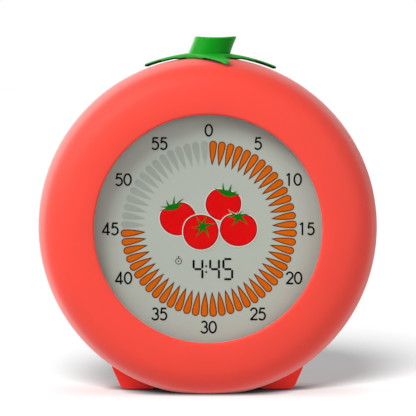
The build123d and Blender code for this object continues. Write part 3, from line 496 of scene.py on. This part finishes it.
points, faces = [], []
for height, radius, lean in rings:
    for turn in full_turn(SPOKES):
        x = lean + radius * math.cos(turn)
        fall = hollow(x - LEAN) if height > HOLLOW_FROM else 0.0
        points.append((x, KNOB_Y + radius * math.sin(turn), height - fall))
top = (len(rings) - 1) * SPOKES
for ring in range(0, top, SPOKES):
    faces += band(ring, ring + SPOKES, SPOKES)
faces.append(tuple(range(top, top + SPOKES)))
base = len(points)
for turn in full_turn(SPOKES):
    points.append((BORE * math.cos(turn), KNOB_Y + BORE * math.sin(turn), BORE_TOP))
faces += band(0, base, SPOKES)
faces.append(tuple(range(base, base + SPOKES)))
stem = tidy(piece("stem_cap", points, faces, STEM_SHARP), STEM_SHARP)
dress(stem, finish["leaf_green"], body_of_node["stem_knob"], "leaf_green", "stem_knob")

# ---- Calyx: five draped leaves on a collar ----
# The gap over the skin and a leaf's thickness, then the heights of the tops over the skin.
GAP, LEAF = 0.5, 1.15
LEAF_TOP, COLLAR_TOP = GAP + LEAF * 0.99, GAP + LEAF * 0.96
HOLE = 7.93
COLLAR = HOLE + 1.0
SKIRT, SKIRT_PLAY = 8.4, 0.1
COLLAR_SEGMENTS = 144
COLLAR_SHARES = (0.0, 0.08, 0.2, 0.4, 0.6, 0.8, 0.92, 1.0)
COLLAR_ROUNDING, COLLAR_EDGE = 0.22, 0.14
LEAF_START = HOLE + 0.35
LEAF_TIP, LEAF_BULGE, LEAF_CROWN, LEAF_ROUNDING = 1.3, 0.86, 0.1, 0.26
LEAF_ROWS, LEAF_COLUMNS, START_ROUNDS = 50, 25, 12
LEAF_SHARP = 50
# The last row of a leaf's points stops this far from the tip, where the leaf has no width.
TIP_CUT = 0.002
# Every other leaf's top is this much lower.
LEAF_STEP = 0.03
# A leaf is cut back from below: how deep, how far in from its edge, and how hollow the cut is.
UNDERCUT, UNDERCUT_WIDTH, UNDERCUT_BEND = 0.42 * LEAF, 1.1, 1.2
# The gap under a leaf widens outwards from CLEAR_FROM over CLEAR_RUN. At the root it is ROOT_GAP
# of the full gap.
ROOT_GAP, CLEAR_FROM, CLEAR_RUN = 0.15, 8.8, 2.0
# Each leaf: direction in degrees from +X seen from above, reach, and its root's width on the left
# and on the right of that direction.
LEAVES = (
    (-70, 16.7, 1.3, 6.9),
    (3, 21.0, 5.5, 5.5),
    (62, 17.5, 5.2, 5.2),
    (121, 16.5, 5.0, 5.0),
    (180, 19.2, 5.6, 5.6),
)


def outline_radius(y, offset):
    """The body's radius at depth y, offset millimetres outside its skin."""
    line = sorted(front_skin(-offset)[::-1] + rear_skin(-offset))
    depths, radii = zip(*line)
    return np.interp(y, depths, radii)


def draped(x, y, offset):
    """A point on the body's top at a place seen from above, offset outside its skin."""
    return x, y, float(CENTRE + np.sqrt(outline_radius(y, offset) ** 2 - x**2))


def solid_sheet(name, top, bottom, wrap=False):
    """A closed piece from matching grids of top and bottom points."""
    rows, columns = len(top), len(top[0])
    points = [p for row in top for p in row] + [p for row in bottom for p in row]
    under = rows * columns
    faces = []
    for i in range(rows if wrap else rows - 1):
        a, b = i * columns, ((i + 1) % rows) * columns
        for j in range(columns - 1):
            faces.append((a + j, a + j + 1, b + j + 1, b + j))
            faces.append((under + a + j, under + b + j, under + b + j + 1, under + a + j + 1))
        for j in (0, columns - 1):
            faces.append((a + j, b + j, under + b + j, under + a + j))
    if not wrap:
        for a in (0, under - columns):
            for j in range(columns - 1):
                faces.append((a + j, a + j + 1, under + a + j + 1, under + a + j))
    return tidy(piece(name, points, faces, LEAF_SHARP), LEAF_SHARP)


def leaf_side(s, reach, root):
    """Width of one side of a leaf at s: a quadratic from root to tip, then the round tip."""
    if s > reach:
        return LEAF_TIP * math.sqrt(max(1 - ((s - reach) / LEAF_TIP) ** 2, 0.0))
    t = s / reach
    waist = LEAF_BULGE * root
    slope = 4 * waist - 3 * root - LEAF_TIP
    return root + t * slope + t * t * (2 * root + 2 * LEAF_TIP - 4 * waist)


def leaf_start(v, reach, root):
    """Where a lengthwise line of a leaf leaves the circle round the hole, found by repetition."""
    start = LEAF_START
    for _ in range(START_ROUNDS):
        start = math.sqrt(LEAF_START**2 - min(v * leaf_side(start, reach, root), HOLE) ** 2)
    return start


def leaf(number, angle, reach, left, right):
    """One leaf, laid over the body and thinned from below towards its edge."""
    turn = math.radians(angle)
    end = reach + LEAF_TIP - TIP_CUT
    lowered = LEAF_STEP * (number % 2)
    top, bottom = [], []
    for share in np.sin(np.linspace(0, math.pi / 2, LEAF_ROWS)):
        upper, lower = [], []
        for v in np.sin(np.linspace(-math.pi / 2, math.pi / 2, LEAF_COLUMNS)):
            root = left if v > 0 else right
            start = leaf_start(v, reach, root)
            s = start + (end - start) * share
            half = leaf_side(s, reach, root)
            u = v * half
            x = s * math.cos(turn) - u * math.sin(turn)
            y = KNOB_Y + s * math.sin(turn) + u * math.cos(turn)
            rim = min(half * (1 - abs(v)), end - s)
            rounding = LEAF_ROUNDING * max(0.0, 1 - rim / LEAF_ROUNDING) ** 2
            under = UNDERCUT * max(0.0, 1 - rim / UNDERCUT_WIDTH) ** UNDERCUT_BEND
            clear = GAP * min(1.0, max(ROOT_GAP, (s - CLEAR_FROM) / CLEAR_RUN))
            upper.append(draped(x, y, LEAF_TOP - rounding - LEAF_CROWN * v * v - lowered))
            lower.append(draped(x, y, clear + under))
        top.append(upper)
        bottom.append(lower)
    return solid_sheet(f"leaf_{number}", top, bottom)


def collar():
    """The ring round the stem that joins the leaves, draped over the body like them."""
    top, bottom = [], []
    for turn in full_turn(COLLAR_SEGMENTS):
        upper, lower = [], []
        for share in COLLAR_SHARES:
            radius = HOLE + (COLLAR - HOLE) * share
            x, y = radius * math.cos(turn), KNOB_Y + radius * math.sin(turn)
            edge = COLLAR_ROUNDING * max(0.0, 1 - min(share, 1 - share) / COLLAR_EDGE) ** 2
            upper.append(draped(x, y, COLLAR_TOP - edge))
            lower.append(draped(x, y, GAP))
        top.append(upper)
        bottom.append(lower)
    return solid_sheet("collar", top, bottom, wrap=True)


skirt_low, skirt_high = FLANGE_TOP + SKIRT_PLAY, CROWN + GAP
skirt = [(skirt_low, HOLE), (skirt_low, SKIRT), (skirt_high, SKIRT), (skirt_high, HOLE)]
leaf_objects = [leaf(number, *sizes) for number, sizes in enumerate(LEAVES)]
leaf_objects.append(collar())
leaf_objects.append(lathe("skirt", skirt, COLLAR_SEGMENTS, axis="knob"))
calyx = join("calyx_leaves", leaf_objects, LEAF_SHARP)
dress(calyx, finish["calyx_green"], body_of_node["calyx"], "leaf_green", "calyx")

# The undersides carry painted shade: they get a near-black material, and towards the side leaves'
# tips their edges do as well. A face counts as an underside where its normal's height is below the
# slope.
TIPS_FROM = 15 * MM
PAINTED_SHADE_SLOPE, TIP_PAINTED_SHADE_SLOPE = -0.2, 0.3
calyx.data.materials.append(finish["leaf_painted_shade"])
for side in calyx.data.polygons:
    slope = TIP_PAINTED_SHADE_SLOPE if abs(side.center.x) > TIPS_FROM else PAINTED_SHADE_SLOPE
    side.material_index = int(side.normal.z < slope)

# ---- Display face ----
SHEET_MARGIN, SHEET_SEGMENTS = 1.3, 128
sheet_radius = WINDOW_RADIUS - SHEET_MARGIN
front, back = face_low.y, face_high.y
profile = [(front, 0.0), (front, sheet_radius), (back, sheet_radius), (back, 0.0)]
face = lathe("display_sheet", profile, SHEET_SEGMENTS)
dress(
    face, finish["display_face"], body_of_node["front_polariser"], "display_face", "front_polariser"
)

# ---- Printing on the display face ----
# Each level of ink lies one step in front of the level below. Shapes of one level that overlap
# have their own heights within the lift.
INK_STEP, INK, INK_LIFT = 0.02, 0.012, 0.006
INK_SHARP = 30
MITRE_LIMIT = 0.45
INK_BLACK = (0.003, 0.003, 0.003)
DIAL_CENTRE = (0.22, -0.1)


def slab(name, shapes, level, color):
    """Thin flat printing on the display's face: shapes are (points, faces) seen from the front."""
    front_y = face_low.y - INK_STEP * level
    points, faces = [], []
    for order, (flat, polygons) in enumerate(shapes):
        base, count = len(points), len(flat)
        lift = INK_LIFT * order / len(shapes)
        points += [(u, front_y - INK - lift, CENTRE + v) for u, v in flat]
        points += [(u, front_y, CENTRE + v) for u, v in flat]
        edges = []
        for polygon in polygons:
            faces.append(tuple(base + i for i in polygon))
            faces.append(tuple(base + count + i for i in reversed(polygon)))
            edges += zip(polygon, polygon[1:] + polygon[:1])
        known = set(edges)
        for a, b in edges:
            if (b, a) not in known:
                faces.append((base + a, base + count + a, base + count + b, base + b))
    made = piece(name, points, faces, INK_SHARP)
    ink = surface(
        name, color, 0.5,
        spread=0.05, patch=200.0, grain=6000.0, depth=0.000004, Specular_IOR_Level=0.02,
    )
    return dress(made, ink, body_of_node["front_polariser"], "printed_film")


def filled(points):
    """One filled outline."""
    return points, [tuple(range(len(points)))]


def dot(centre, radius, steps):
    """A filled circle."""
    return filled(arc(centre, radius, 0, -360, steps)[:-1])


def ribbon(line, width, closed=False):
    """A stroke of constant width along a line of points."""
    line = np.array(line, float)
    if closed:
        before, after = np.roll(line, 1, axis=0), np.roll(line, -1, axis=0)
    else:
        before = np.vstack([2 * line[0] - line[1], line[:-1]])
        after = np.vstack([line[1:], 2 * line[-1] - line[-2]])
    first, second = line - before, after - line
    first /= np.linalg.norm(first, axis=1)[:, None]
    second /= np.linalg.norm(second, axis=1)[:, None]
    middle = first + second
    middle /= np.linalg.norm(middle, axis=1)[:, None]
    normal = np.stack([-middle[:, 1], middle[:, 0]], axis=1)
    stretch = 1 / np.maximum((middle * second).sum(axis=1), MITRE_LIMIT)
    offset = normal * (width / 2) * stretch[:, None]
    count = len(line)
    points = [tuple(p) for p in line + offset] + [tuple(p) for p in line - offset]
    faces = band(0, count, count)
    return points, faces if closed else faces[:-1]


def moved(shape, u, v, scale):
    """A shape scaled about the origin and then moved."""
    points, polygons = shape
    return [(u + x * scale, v + y * scale) for x, y in points], polygons


# Numerals: a thin round sans drawn in parts of the cap height. Each has its advance, and the line
# and the width of each stroke. The nought is one closed stroke.
PEN = 0.14
THIN, THINNER = PEN * 0.95, PEN * 0.9
CAP_END = 0.5 - PEN / 2
ROUND_A = 0.335 - PEN / 2
LETTER_SPACE = 0.01
NUMERALS = {
    "1": (0.55, (
        ([(-0.05, -0.5), (-0.05, 0.5)], PEN),
        ([(-0.24, 0.3), (-0.07, 0.46)], THINNER),
    )),
    "2": (0.62, (
        (ellipse((0, 0.19), 0.235, 0.256, 172, -202, 26) + [(-0.235, -0.43)], PEN),
        ([(-0.28, -CAP_END), (0.29, -CAP_END)], PEN),
    )),
    "3": (0.60, (
        (ellipse((-0.02, 0.225), 0.21, 0.222, 150, -240, 26), PEN),
        (ellipse((-0.02, -0.2), 0.245, 0.247, 90, -252, 28), PEN),
    )),
    "4": (0.7, (
        ([(0.13, -0.5), (0.13, 0.5)], PEN),
        ([(0.15, 0.455), (-0.27, -0.26)], THIN),
        ([(-0.315, -0.265), (0.31, -0.265)], PEN),
    )),
    "5": (0.64, (
        ([(-0.15, CAP_END), (0.235, CAP_END)], PEN),
        ([(-0.125, 0.5), (-0.20, 0.02)], THIN),
        ([(-0.215, 0.045)] + ellipse((-0.025, -0.155), 0.265, 0.295, 118, -262, 30), PEN),
    )),
}
numeral = {
    character: (advance, [ribbon(*stroke) for stroke in strokes])
    for character, (advance, strokes) in NUMERALS.items()
}
numeral["0"] = (0.67, [ribbon(ellipse((0, 0), ROUND_A, CAP_END)[:-1], PEN, True)])

# Twelve numbers in steps of five, clockwise from the top.
NUMERAL_RADIUS, CAP = 31.75, 4.15
shapes = []
for step in range(12):
    text = str(step * 5)
    turn = math.radians(90 - 30 * step)
    width = sum(numeral[c][0] for c in text) + LETTER_SPACE * (len(text) - 1)
    pen = DIAL_CENTRE[0] + NUMERAL_RADIUS * math.cos(turn) - width * CAP / 2
    height = DIAL_CENTRE[1] + NUMERAL_RADIUS * math.sin(turn)
    for character in text:
        advance, strokes = numeral[character]
        shapes += [moved(s, pen + advance * CAP / 2, height, CAP) for s in strokes]
        pen += (advance + LETTER_SPACE) * CAP
slab("dial_numerals", shapes, 1, INK_BLACK)

# Sixty drops, one a minute, clockwise from the top: forty-five lit, fifteen unlit.
DROPS, DROPS_LIT = 60, 45
DROP_OUT, DROP_IN, DROP_HALF = 28.45, 20.3, 1.23
LIT_MARGIN, UNLIT_MARGIN = 0.33, 0.22
TIP_MARGIN = 3.2
DROP_SIDE_END, DROP_BEND, DROP_CAP, DROP_STEPS = 0.96, 0.9, 88, 14


def drop(turn, margin):
    """One drop's outline, pointing inwards, drawn margin inside its edge."""
    half = DROP_HALF - margin
    bulb = DROP_OUT - margin - half
    tip = DROP_IN + TIP_MARGIN * margin
    side = []
    for s in np.linspace(0.0, DROP_SIDE_END, DROP_STEPS):
        side.append((tip + (bulb - tip) * s, half * (math.sin(s * math.pi / 2) ** DROP_BEND)))
    cap = arc((bulb, 0), half, DROP_CAP, -2 * DROP_CAP, DROP_STEPS)
    line = side + cap + [(r, -w) for r, w in side[:0:-1]]
    c, s = math.cos(turn), math.sin(turn)
    placed = [(DIAL_CENTRE[0] + r * c - w * s, DIAL_CENTRE[1] + r * s + w * c) for r, w in line]
    return filled(placed[::-1])


pitch = 360 / DROPS
turns = [math.radians(90 - pitch * (k + 0.5)) for k in range(DROPS)]
lit, unlit = turns[:DROPS_LIT], turns[DROPS_LIT:]
slab("drops_lit_edge", [drop(t, 0.0) for t in lit], 1, (0.12, 0.022, 0.001))
slab("drops_lit", [drop(t, LIT_MARGIN) for t in lit], 2, (0.56, 0.103, 0.001))
slab("drops_unlit_edge", [drop(t, 0.0) for t in unlit], 1, (0.343, 0.378, 0.33))
slab("drops_unlit", [drop(t, UNLIT_MARGIN) for t in unlit], 2, (0.308, 0.341, 0.297))

# Time digits: seven-segment bars, and a colon.
BAR, BAR_NIP, BAR_GAP = 0.7, 0.28, 0.2
DIGIT_WIDE, DIGIT_HALF = 2.82, 3.25
DIGITS_MIDDLE = -13.12
COLON_X, COLON_HEIGHTS, COLON_RADIUS = -0.6, (-12.18, -14.05), 0.34


def bar(a, b):
    """One bar with bevelled ends."""
    a, b = np.array(a, float), np.array(b, float)
    run = (b - a) / np.linalg.norm(b - a)
    side = np.array([-run[1], run[0]]) * BAR / 2
    nip = run * BAR * BAR_NIP
    outline = [a, a + nip + side, b - nip + side, b, b - nip - side, a + nip - side]
    return filled([tuple(p) for p in outline][::-1])


def digit(left, segments):
    """The lit bars of one digit, named by the usual letters of its seven segments."""
    right, middle = left + DIGIT_WIDE, DIGITS_MIDDLE
    top, low = middle + DIGIT_HALF, middle - DIGIT_HALF
    ends = {
        "a": ((left + BAR_GAP, top), (right - BAR_GAP, top)),
        "b": ((right, top - BAR_GAP), (right, middle + BAR_GAP)),
        "c": ((right, middle - BAR_GAP), (right, low + BAR_GAP)),
        "d": ((left + BAR_GAP, low), (right - BAR_GAP, low)),
        "e": ((left, middle - BAR_GAP), (left, low + BAR_GAP)),
        "f": ((left, top - BAR_GAP), (left, middle + BAR_GAP)),
        "g": ((left + BAR_GAP, middle), (right - BAR_GAP, middle)),
    }
    return [bar(*ends[s]) for s in segments]


shapes = digit(-4.66, "fgbc") + digit(0.68, "fgbc") + digit(4.95, "afgcd")
shapes += [dot((COLON_X, height), COLON_RADIUS, 16) for height in COLON_HEIGHTS]
slab("time_digits", shapes, 1, INK_BLACK)

# The stopwatch sign: a ring with a dot in it, a stem and a crown.
WATCH_X, WATCH_Y = -9.5, -10.55
WATCH_RADIUS, WATCH_LINE = 0.95, 0.24
WATCH_STEM, WATCH_STEM_LOW, WATCH_STEM_HIGH = 0.3, WATCH_Y + 1.0, WATCH_Y + 1.5
WATCH_CROWN_LEFT, WATCH_CROWN_RIGHT = WATCH_X - 0.3, WATCH_X + 0.3
shapes = [
    ribbon(arc((WATCH_X, WATCH_Y), WATCH_RADIUS, 0, 360, 40)[:-1], WATCH_LINE, True),
    dot((WATCH_X, WATCH_Y), WATCH_LINE, 14),
    ribbon([(WATCH_X, WATCH_STEM_LOW), (WATCH_X, WATCH_STEM_HIGH)], WATCH_STEM),
    ribbon(
        [(WATCH_CROWN_LEFT, WATCH_STEM_HIGH), (WATCH_CROWN_RIGHT, WATCH_STEM_HIGH)], WATCH_LINE
    ),
]
slab("stopwatch_sign", shapes, 1, (0.035, 0.04, 0.035))

# ---- Four little tomatoes ----
HALO_COLOR = (0.7, 0.62, 0.56)
RIM_COLOR = (0.2, 0.002, 0.003)
FLESH_COLOR = (0.64, 0.0013, 0.0018)
SPRIG_COLOR = (0.001, 0.145, 0.003)
HALO, RIM = 0.3, 0.34
BACK_LEVEL, LEAF_HALO_LEVEL, FRONT_LEVEL = 3, 6, 7
# Beside the dip, both at angles in radians, the outline rises to a bulge.
DIP_WIDTH = 0.42
BULGE, BULGE_AT, BULGE_WIDTH = 0.035, 0.85, 0.4
FRUIT_POINTS = 96
SPRIG_BOW, SPRIG_TAPER, SPRIG_POINT, SPRIG_STEPS = 0.06, 1.1, 0.03, 8
LEAF_HALO, LEAF_HALO_REACH = 0.32, 1.06
HUB = (0.0, 0.0)
# The outline has a centre, half a width, half a height, the dip's direction in degrees and its
# depth. The sprig has a centre, an oval and a tilt. Each leaf has a root, a tip and half a width.
TOMATOES = (
    dict(
        level=BACK_LEVEL,
        outline=((-9.63, 3.1), 5.87, 5.35, 115, 0.13),
        sprig=((-11.2, 6.95), (2.2, 1.0), 14),
        leaves=(
            ((0.3, 0.6), (0.45, 3.5), 0.4),
            ((-1.3, 0.2), (-2.2, 2.2), 0.4),
            ((1.3, 0.8), (3.4, 2.75), 0.42),
            ((-1.6, -0.4), (-4.4, -1.05), 0.45),
            ((-1.6, 0.0), (-4.2, 0.2), 0.35),
            ((1.4, 0.3), (2.6, 0.9), 0.5),
        ),
    ),
    dict(
        level=BACK_LEVEL,
        outline=((4.9, 7.75), 5.75, 5.2, 74, 0.13),
        sprig=((6.2, 11.35), (2.4, 1.0), -14),
        leaves=(
            ((-1.1, 0.6), (-1.3, 3.4), 0.42),
            ((0.8, 0.5), (1.5, 2.95), 0.42),
            ((-1.9, 0.7), (-4.1, 1.75), 0.45),
            ((1.9, -0.3), (4.0, -0.5), 0.42),
            ((-1.7, 0.5), (-3.3, 1.0), 0.4),
            ((1.8, 0.0), (3.3, 0.45), 0.35),
        ),
    ),
    dict(
        level=FRONT_LEVEL,
        outline=((-2.35, -1.18), 5.72, 5.64, 90, 0.0),
        sprig=((-1.75, 0.55), (0.95, 0.95), 0),
        leaves=(
            (HUB, (-3.8, -0.1), 0.62),
            (HUB, (-1.85, 3.3), 0.6),
            (HUB, (1.55, 3.7), 0.6),
            (HUB, (4.2, 1.0), 0.62),
            (HUB, (2.1, -3.6), 0.62),
            (HUB, (-2.5, -3.4), 0.62),
        ),
    ),
    dict(
        level=FRONT_LEVEL,
        outline=((9.8, -0.3), 6.0, 5.4, 90, 0.10),
        sprig=((9.75, 3.75), (1.35, 0.9), 0),
        leaves=(
            (HUB, (-3.1, 2.35), 0.5),
            (HUB, (-3.9, 0.3), 0.55),
            (HUB, (1.35, 2.1), 0.5),
            (HUB, (-0.2, 1.7), 0.4),
            (HUB, (3.5, 1.0), 0.6),
            (HUB, (3.2, -2.7), 0.65),
            (HUB, (-2.3, -3.1), 0.65),
        ),
    ),
)


def fruit(centre, wide, tall, dip_at, dip, margin):
    """A plump round outline with a shallow dip where the leaves grow, drawn inside its edge."""
    line = []
    for t in np.radians(np.linspace(0, 360, FRUIT_POINTS + 1)[:-1]):
        away = t - math.radians(dip_at)
        away = math.atan2(math.sin(away), math.cos(away))
        dent = dip * math.exp(-((away / DIP_WIDTH) ** 2))
        bulge = BULGE * math.exp(-(((abs(away) - BULGE_AT) / BULGE_WIDTH) ** 2))
        share = 1 - dent + bulge
        across, up = wide * share - margin, tall * share - margin
        line.append((centre[0] + across * math.cos(t), centre[1] + up * math.sin(t)))
    return filled(line[::-1])


def sprig(centre, oval, tilt, leaves):
    """Thin pointed leaves round a tilted oval."""
    c, k = math.cos(math.radians(tilt)), math.sin(math.radians(tilt))
    line = ellipse((0, 0), *oval, 0, -360, 24)[:-1]
    shapes = [filled([(centre[0] + u * c - v * k, centre[1] + u * k + v * c) for u, v in line])]
    for root, tip, half in leaves:
        run = np.array(tip) - np.array(root)
        side = np.array([-run[1], run[0]]) / np.linalg.norm(run)
        bow = side * SPRIG_BOW * np.linalg.norm(run)
        left, right = [], []
        for s in np.linspace(0, 1, SPRIG_STEPS):
            middle = np.array(centre) + root + run * s + bow * 4 * s * (1 - s)
            width = half * (1 - s) ** SPRIG_TAPER + SPRIG_POINT
            left.append(tuple(middle + side * width))
            right.append(tuple(middle - side * width))
        shapes.append(filled((left + right[::-1])[::-1]))
    return shapes


for number, tomato in enumerate(TOMATOES, 1):
    name, level, outline = f"tomato_{number}", tomato["level"], tomato["outline"]
    slab(f"{name}_halo", [fruit(*outline, -HALO)], level, HALO_COLOR)
    slab(f"{name}_edge", [fruit(*outline, 0.0)], level + 1, RIM_COLOR)
    slab(f"{name}_flesh", [fruit(*outline, RIM)], level + 2, FLESH_COLOR)
    slab(f"{name}_leaves", sprig(*tomato["sprig"], tomato["leaves"]), level + 3, SPRIG_COLOR)

# The last tomato's leaves have a halo of their own over the tomato behind them.
last = TOMATOES[-1]
wider = []
for root, tip, half in last["leaves"]:
    wider.append((root, tuple(c * LEAF_HALO_REACH for c in tip), half + LEAF_HALO))
slab("tomato_4_leaf_halo", sprig(*last["sprig"], wider), LEAF_HALO_LEVEL, HALO_COLOR)


# ---- Camera ----
def direction(azimuth, elevation):
    """Unit vector from the object to a place round it; azimuth 0 is in front, 90 on the right."""
    a, e = math.radians(azimuth), math.radians(elevation)
    return Vector((math.sin(a) * math.cos(e), -math.cos(a) * math.cos(e), math.sin(e)))


def aim(made, target):
    """Turns a camera or a lamp towards a point."""
    made.rotation_euler = (target - made.location).to_track_quat("-Z", "Y").to_euler()


# The photograph's view: from the front, slightly above, with a long lens. In metres and degrees.
TARGET, DISTANCE = Vector((0.0001, 0.0, 0.05965)), 1.6
VIEW = (-0.4, 2.3)
camera_data = bpy.data.cameras.new("camera")
camera_data.lens = 425
camera_data.sensor_width = 36
camera_data.clip_end = 20
camera = bpy.data.objects.new("camera", camera_data)
camera.location = TARGET + DISTANCE * direction(*VIEW)
scene.collection.objects.link(camera)
aim(camera, TARGET)
scene.camera = camera


# ---- Lamps and world ----
def sun(name, azimuth, elevation, angle, level):
    """A soft even lamp of an angular width; level is how bright it makes white that faces it."""
    data = bpy.data.lights.new(name, "SUN")
    data.angle = math.radians(angle)
    data.energy = level * math.pi
    lamp = bpy.data.objects.new(name, data)
    lamp.location = direction(azimuth, elevation)
    scene.collection.objects.link(lamp)
    aim(lamp, Vector((0, 0, 0)))
    return lamp


studio = [
    sun("key", -72, 30, 44, 0.34),
    sun("top_light", -42, 45, 28, 0.74),
    sun("fill", 50, 16, 40, 0.3),
    sun("back_light", 214, 16, 50, 0.5),
]


PANEL_FALL = 2.0


def room(tree, *panels):
    """Light from all round: the sum of soft panels, each (azimuth, elevation, strength)."""
    where = tree.nodes.new("ShaderNodeTexCoord")
    total = None
    for azimuth, elevation, strength in panels:
        facing = tree.nodes.new("ShaderNodeVectorMath")
        facing.operation = "DOT_PRODUCT"
        facing.inputs[1].default_value = direction(azimuth, elevation)
        link(where.outputs["Generated"], facing.inputs[0])
        value = math_step(tree, "MAXIMUM", facing.outputs["Value"], 0.0)
        value = math_step(tree, "POWER", value, PANEL_FALL)
        value = math_step(tree, "MULTIPLY", value, strength)
        total = value if total is None else math_step(tree, "ADD", total, value)
    background = tree.nodes.new("ShaderNodeBackground")
    link(total, background.inputs["Strength"])
    return background


# The rays that see the white background instead of the light from all round.
BACKDROP_RAYS = ("Is Camera Ray", "Is Glossy Ray", "Is Transmission Ray")
world = bpy.data.worlds.new("studio")
scene.world = world
world.use_nodes = True
tree = world.node_tree
tree.nodes.clear()
backdrop = add_node(tree, "ShaderNodeBackground", Color=(1.0, 1.0, 1.0, 1.0), Strength=1.0)
lighting = room(tree, (-90, 0, 1.1), (0, 0, 0.74))
shading = either_shader(tree, any_ray(tree, *BACKDROP_RAYS), lighting, backdrop)
out = tree.nodes.new("ShaderNodeOutputWorld")
link(shading.outputs[0], out.inputs["Surface"])

# ---- Floor ----
# Pale paper that the room and the floor's own lamp light, and a glow that brings it up to white
# for the rays that see the background. Both darken close to the object with a painted contact
# shadow taken from ambient occlusion, the paper's for the camera alone.
FLOOR_REACH = 6000
PAPER = (0.4, 0.4, 0.4, 1.0)
GLOW, GLOW_SHADE, PAPER_SHADE = 0.36, 0.022, 0.006
corners = [(-1, -1), (1, -1), (1, 1), (-1, 1)]
floor = piece("floor", [(FLOOR_REACH * x, FLOOR_REACH * y, 0) for x, y in corners], [(0, 1, 2, 3)])
floor_white = bpy.data.materials.new("floor_white")
floor_white.use_nodes = True
tree = floor_white.node_tree
tree.nodes.clear()
paper = add_node(tree, "ShaderNodeBsdfDiffuse", Color=PAPER)
# Painted contact shadow in the paper's colour, for the camera alone.
paper_contact_shadow = add_node(tree, "ShaderNodeAmbientOcclusion", Distance=PAPER_SHADE, Color=PAPER)
shaded_paper = tree.nodes.new("ShaderNodeBsdfDiffuse")
link(paper_contact_shadow.outputs["Color"], shaded_paper.inputs["Color"])
sheet = either_shader(tree, any_ray(tree, "Is Camera Ray"), paper, shaded_paper)
# Painted contact shadow in the glow's colour.
glow_contact_shadow = add_node(tree, "ShaderNodeAmbientOcclusion", Distance=GLOW_SHADE)
glow = add_node(tree, "ShaderNodeEmission", Strength=GLOW)
link(glow_contact_shadow.outputs["Color"], glow.inputs["Color"])
no_glow = add_node(tree, "ShaderNodeEmission", Strength=0.0)
shown = either_shader(tree, any_ray(tree, *BACKDROP_RAYS), no_glow, glow)
both = tree.nodes.new("ShaderNodeAddShader")
link(sheet.outputs[0], both.inputs[0])
link(shown.outputs[0], both.inputs[1])
out = tree.nodes.new("ShaderNodeOutputMaterial")
link(both.outputs[0], out.inputs["Surface"])
floor.data.materials.append(floor_white)

# The floor has a lamp of its own, low in front, so that the shadow falls behind the object.
ground = bpy.data.collections.new("ground")
ground.objects.link(floor)
sun("floor_lamp", -7, 24, 15, 3.65).light_linking.receiver_collection = ground
around = bpy.data.collections.new("all_but_ground")
around.objects.link(floor)
around.collection_objects[0].light_linking.link_state = "EXCLUDE"
for lamp in studio:
    lamp.light_linking.receiver_collection = around

scene.view_settings.view_transform = "Standard"
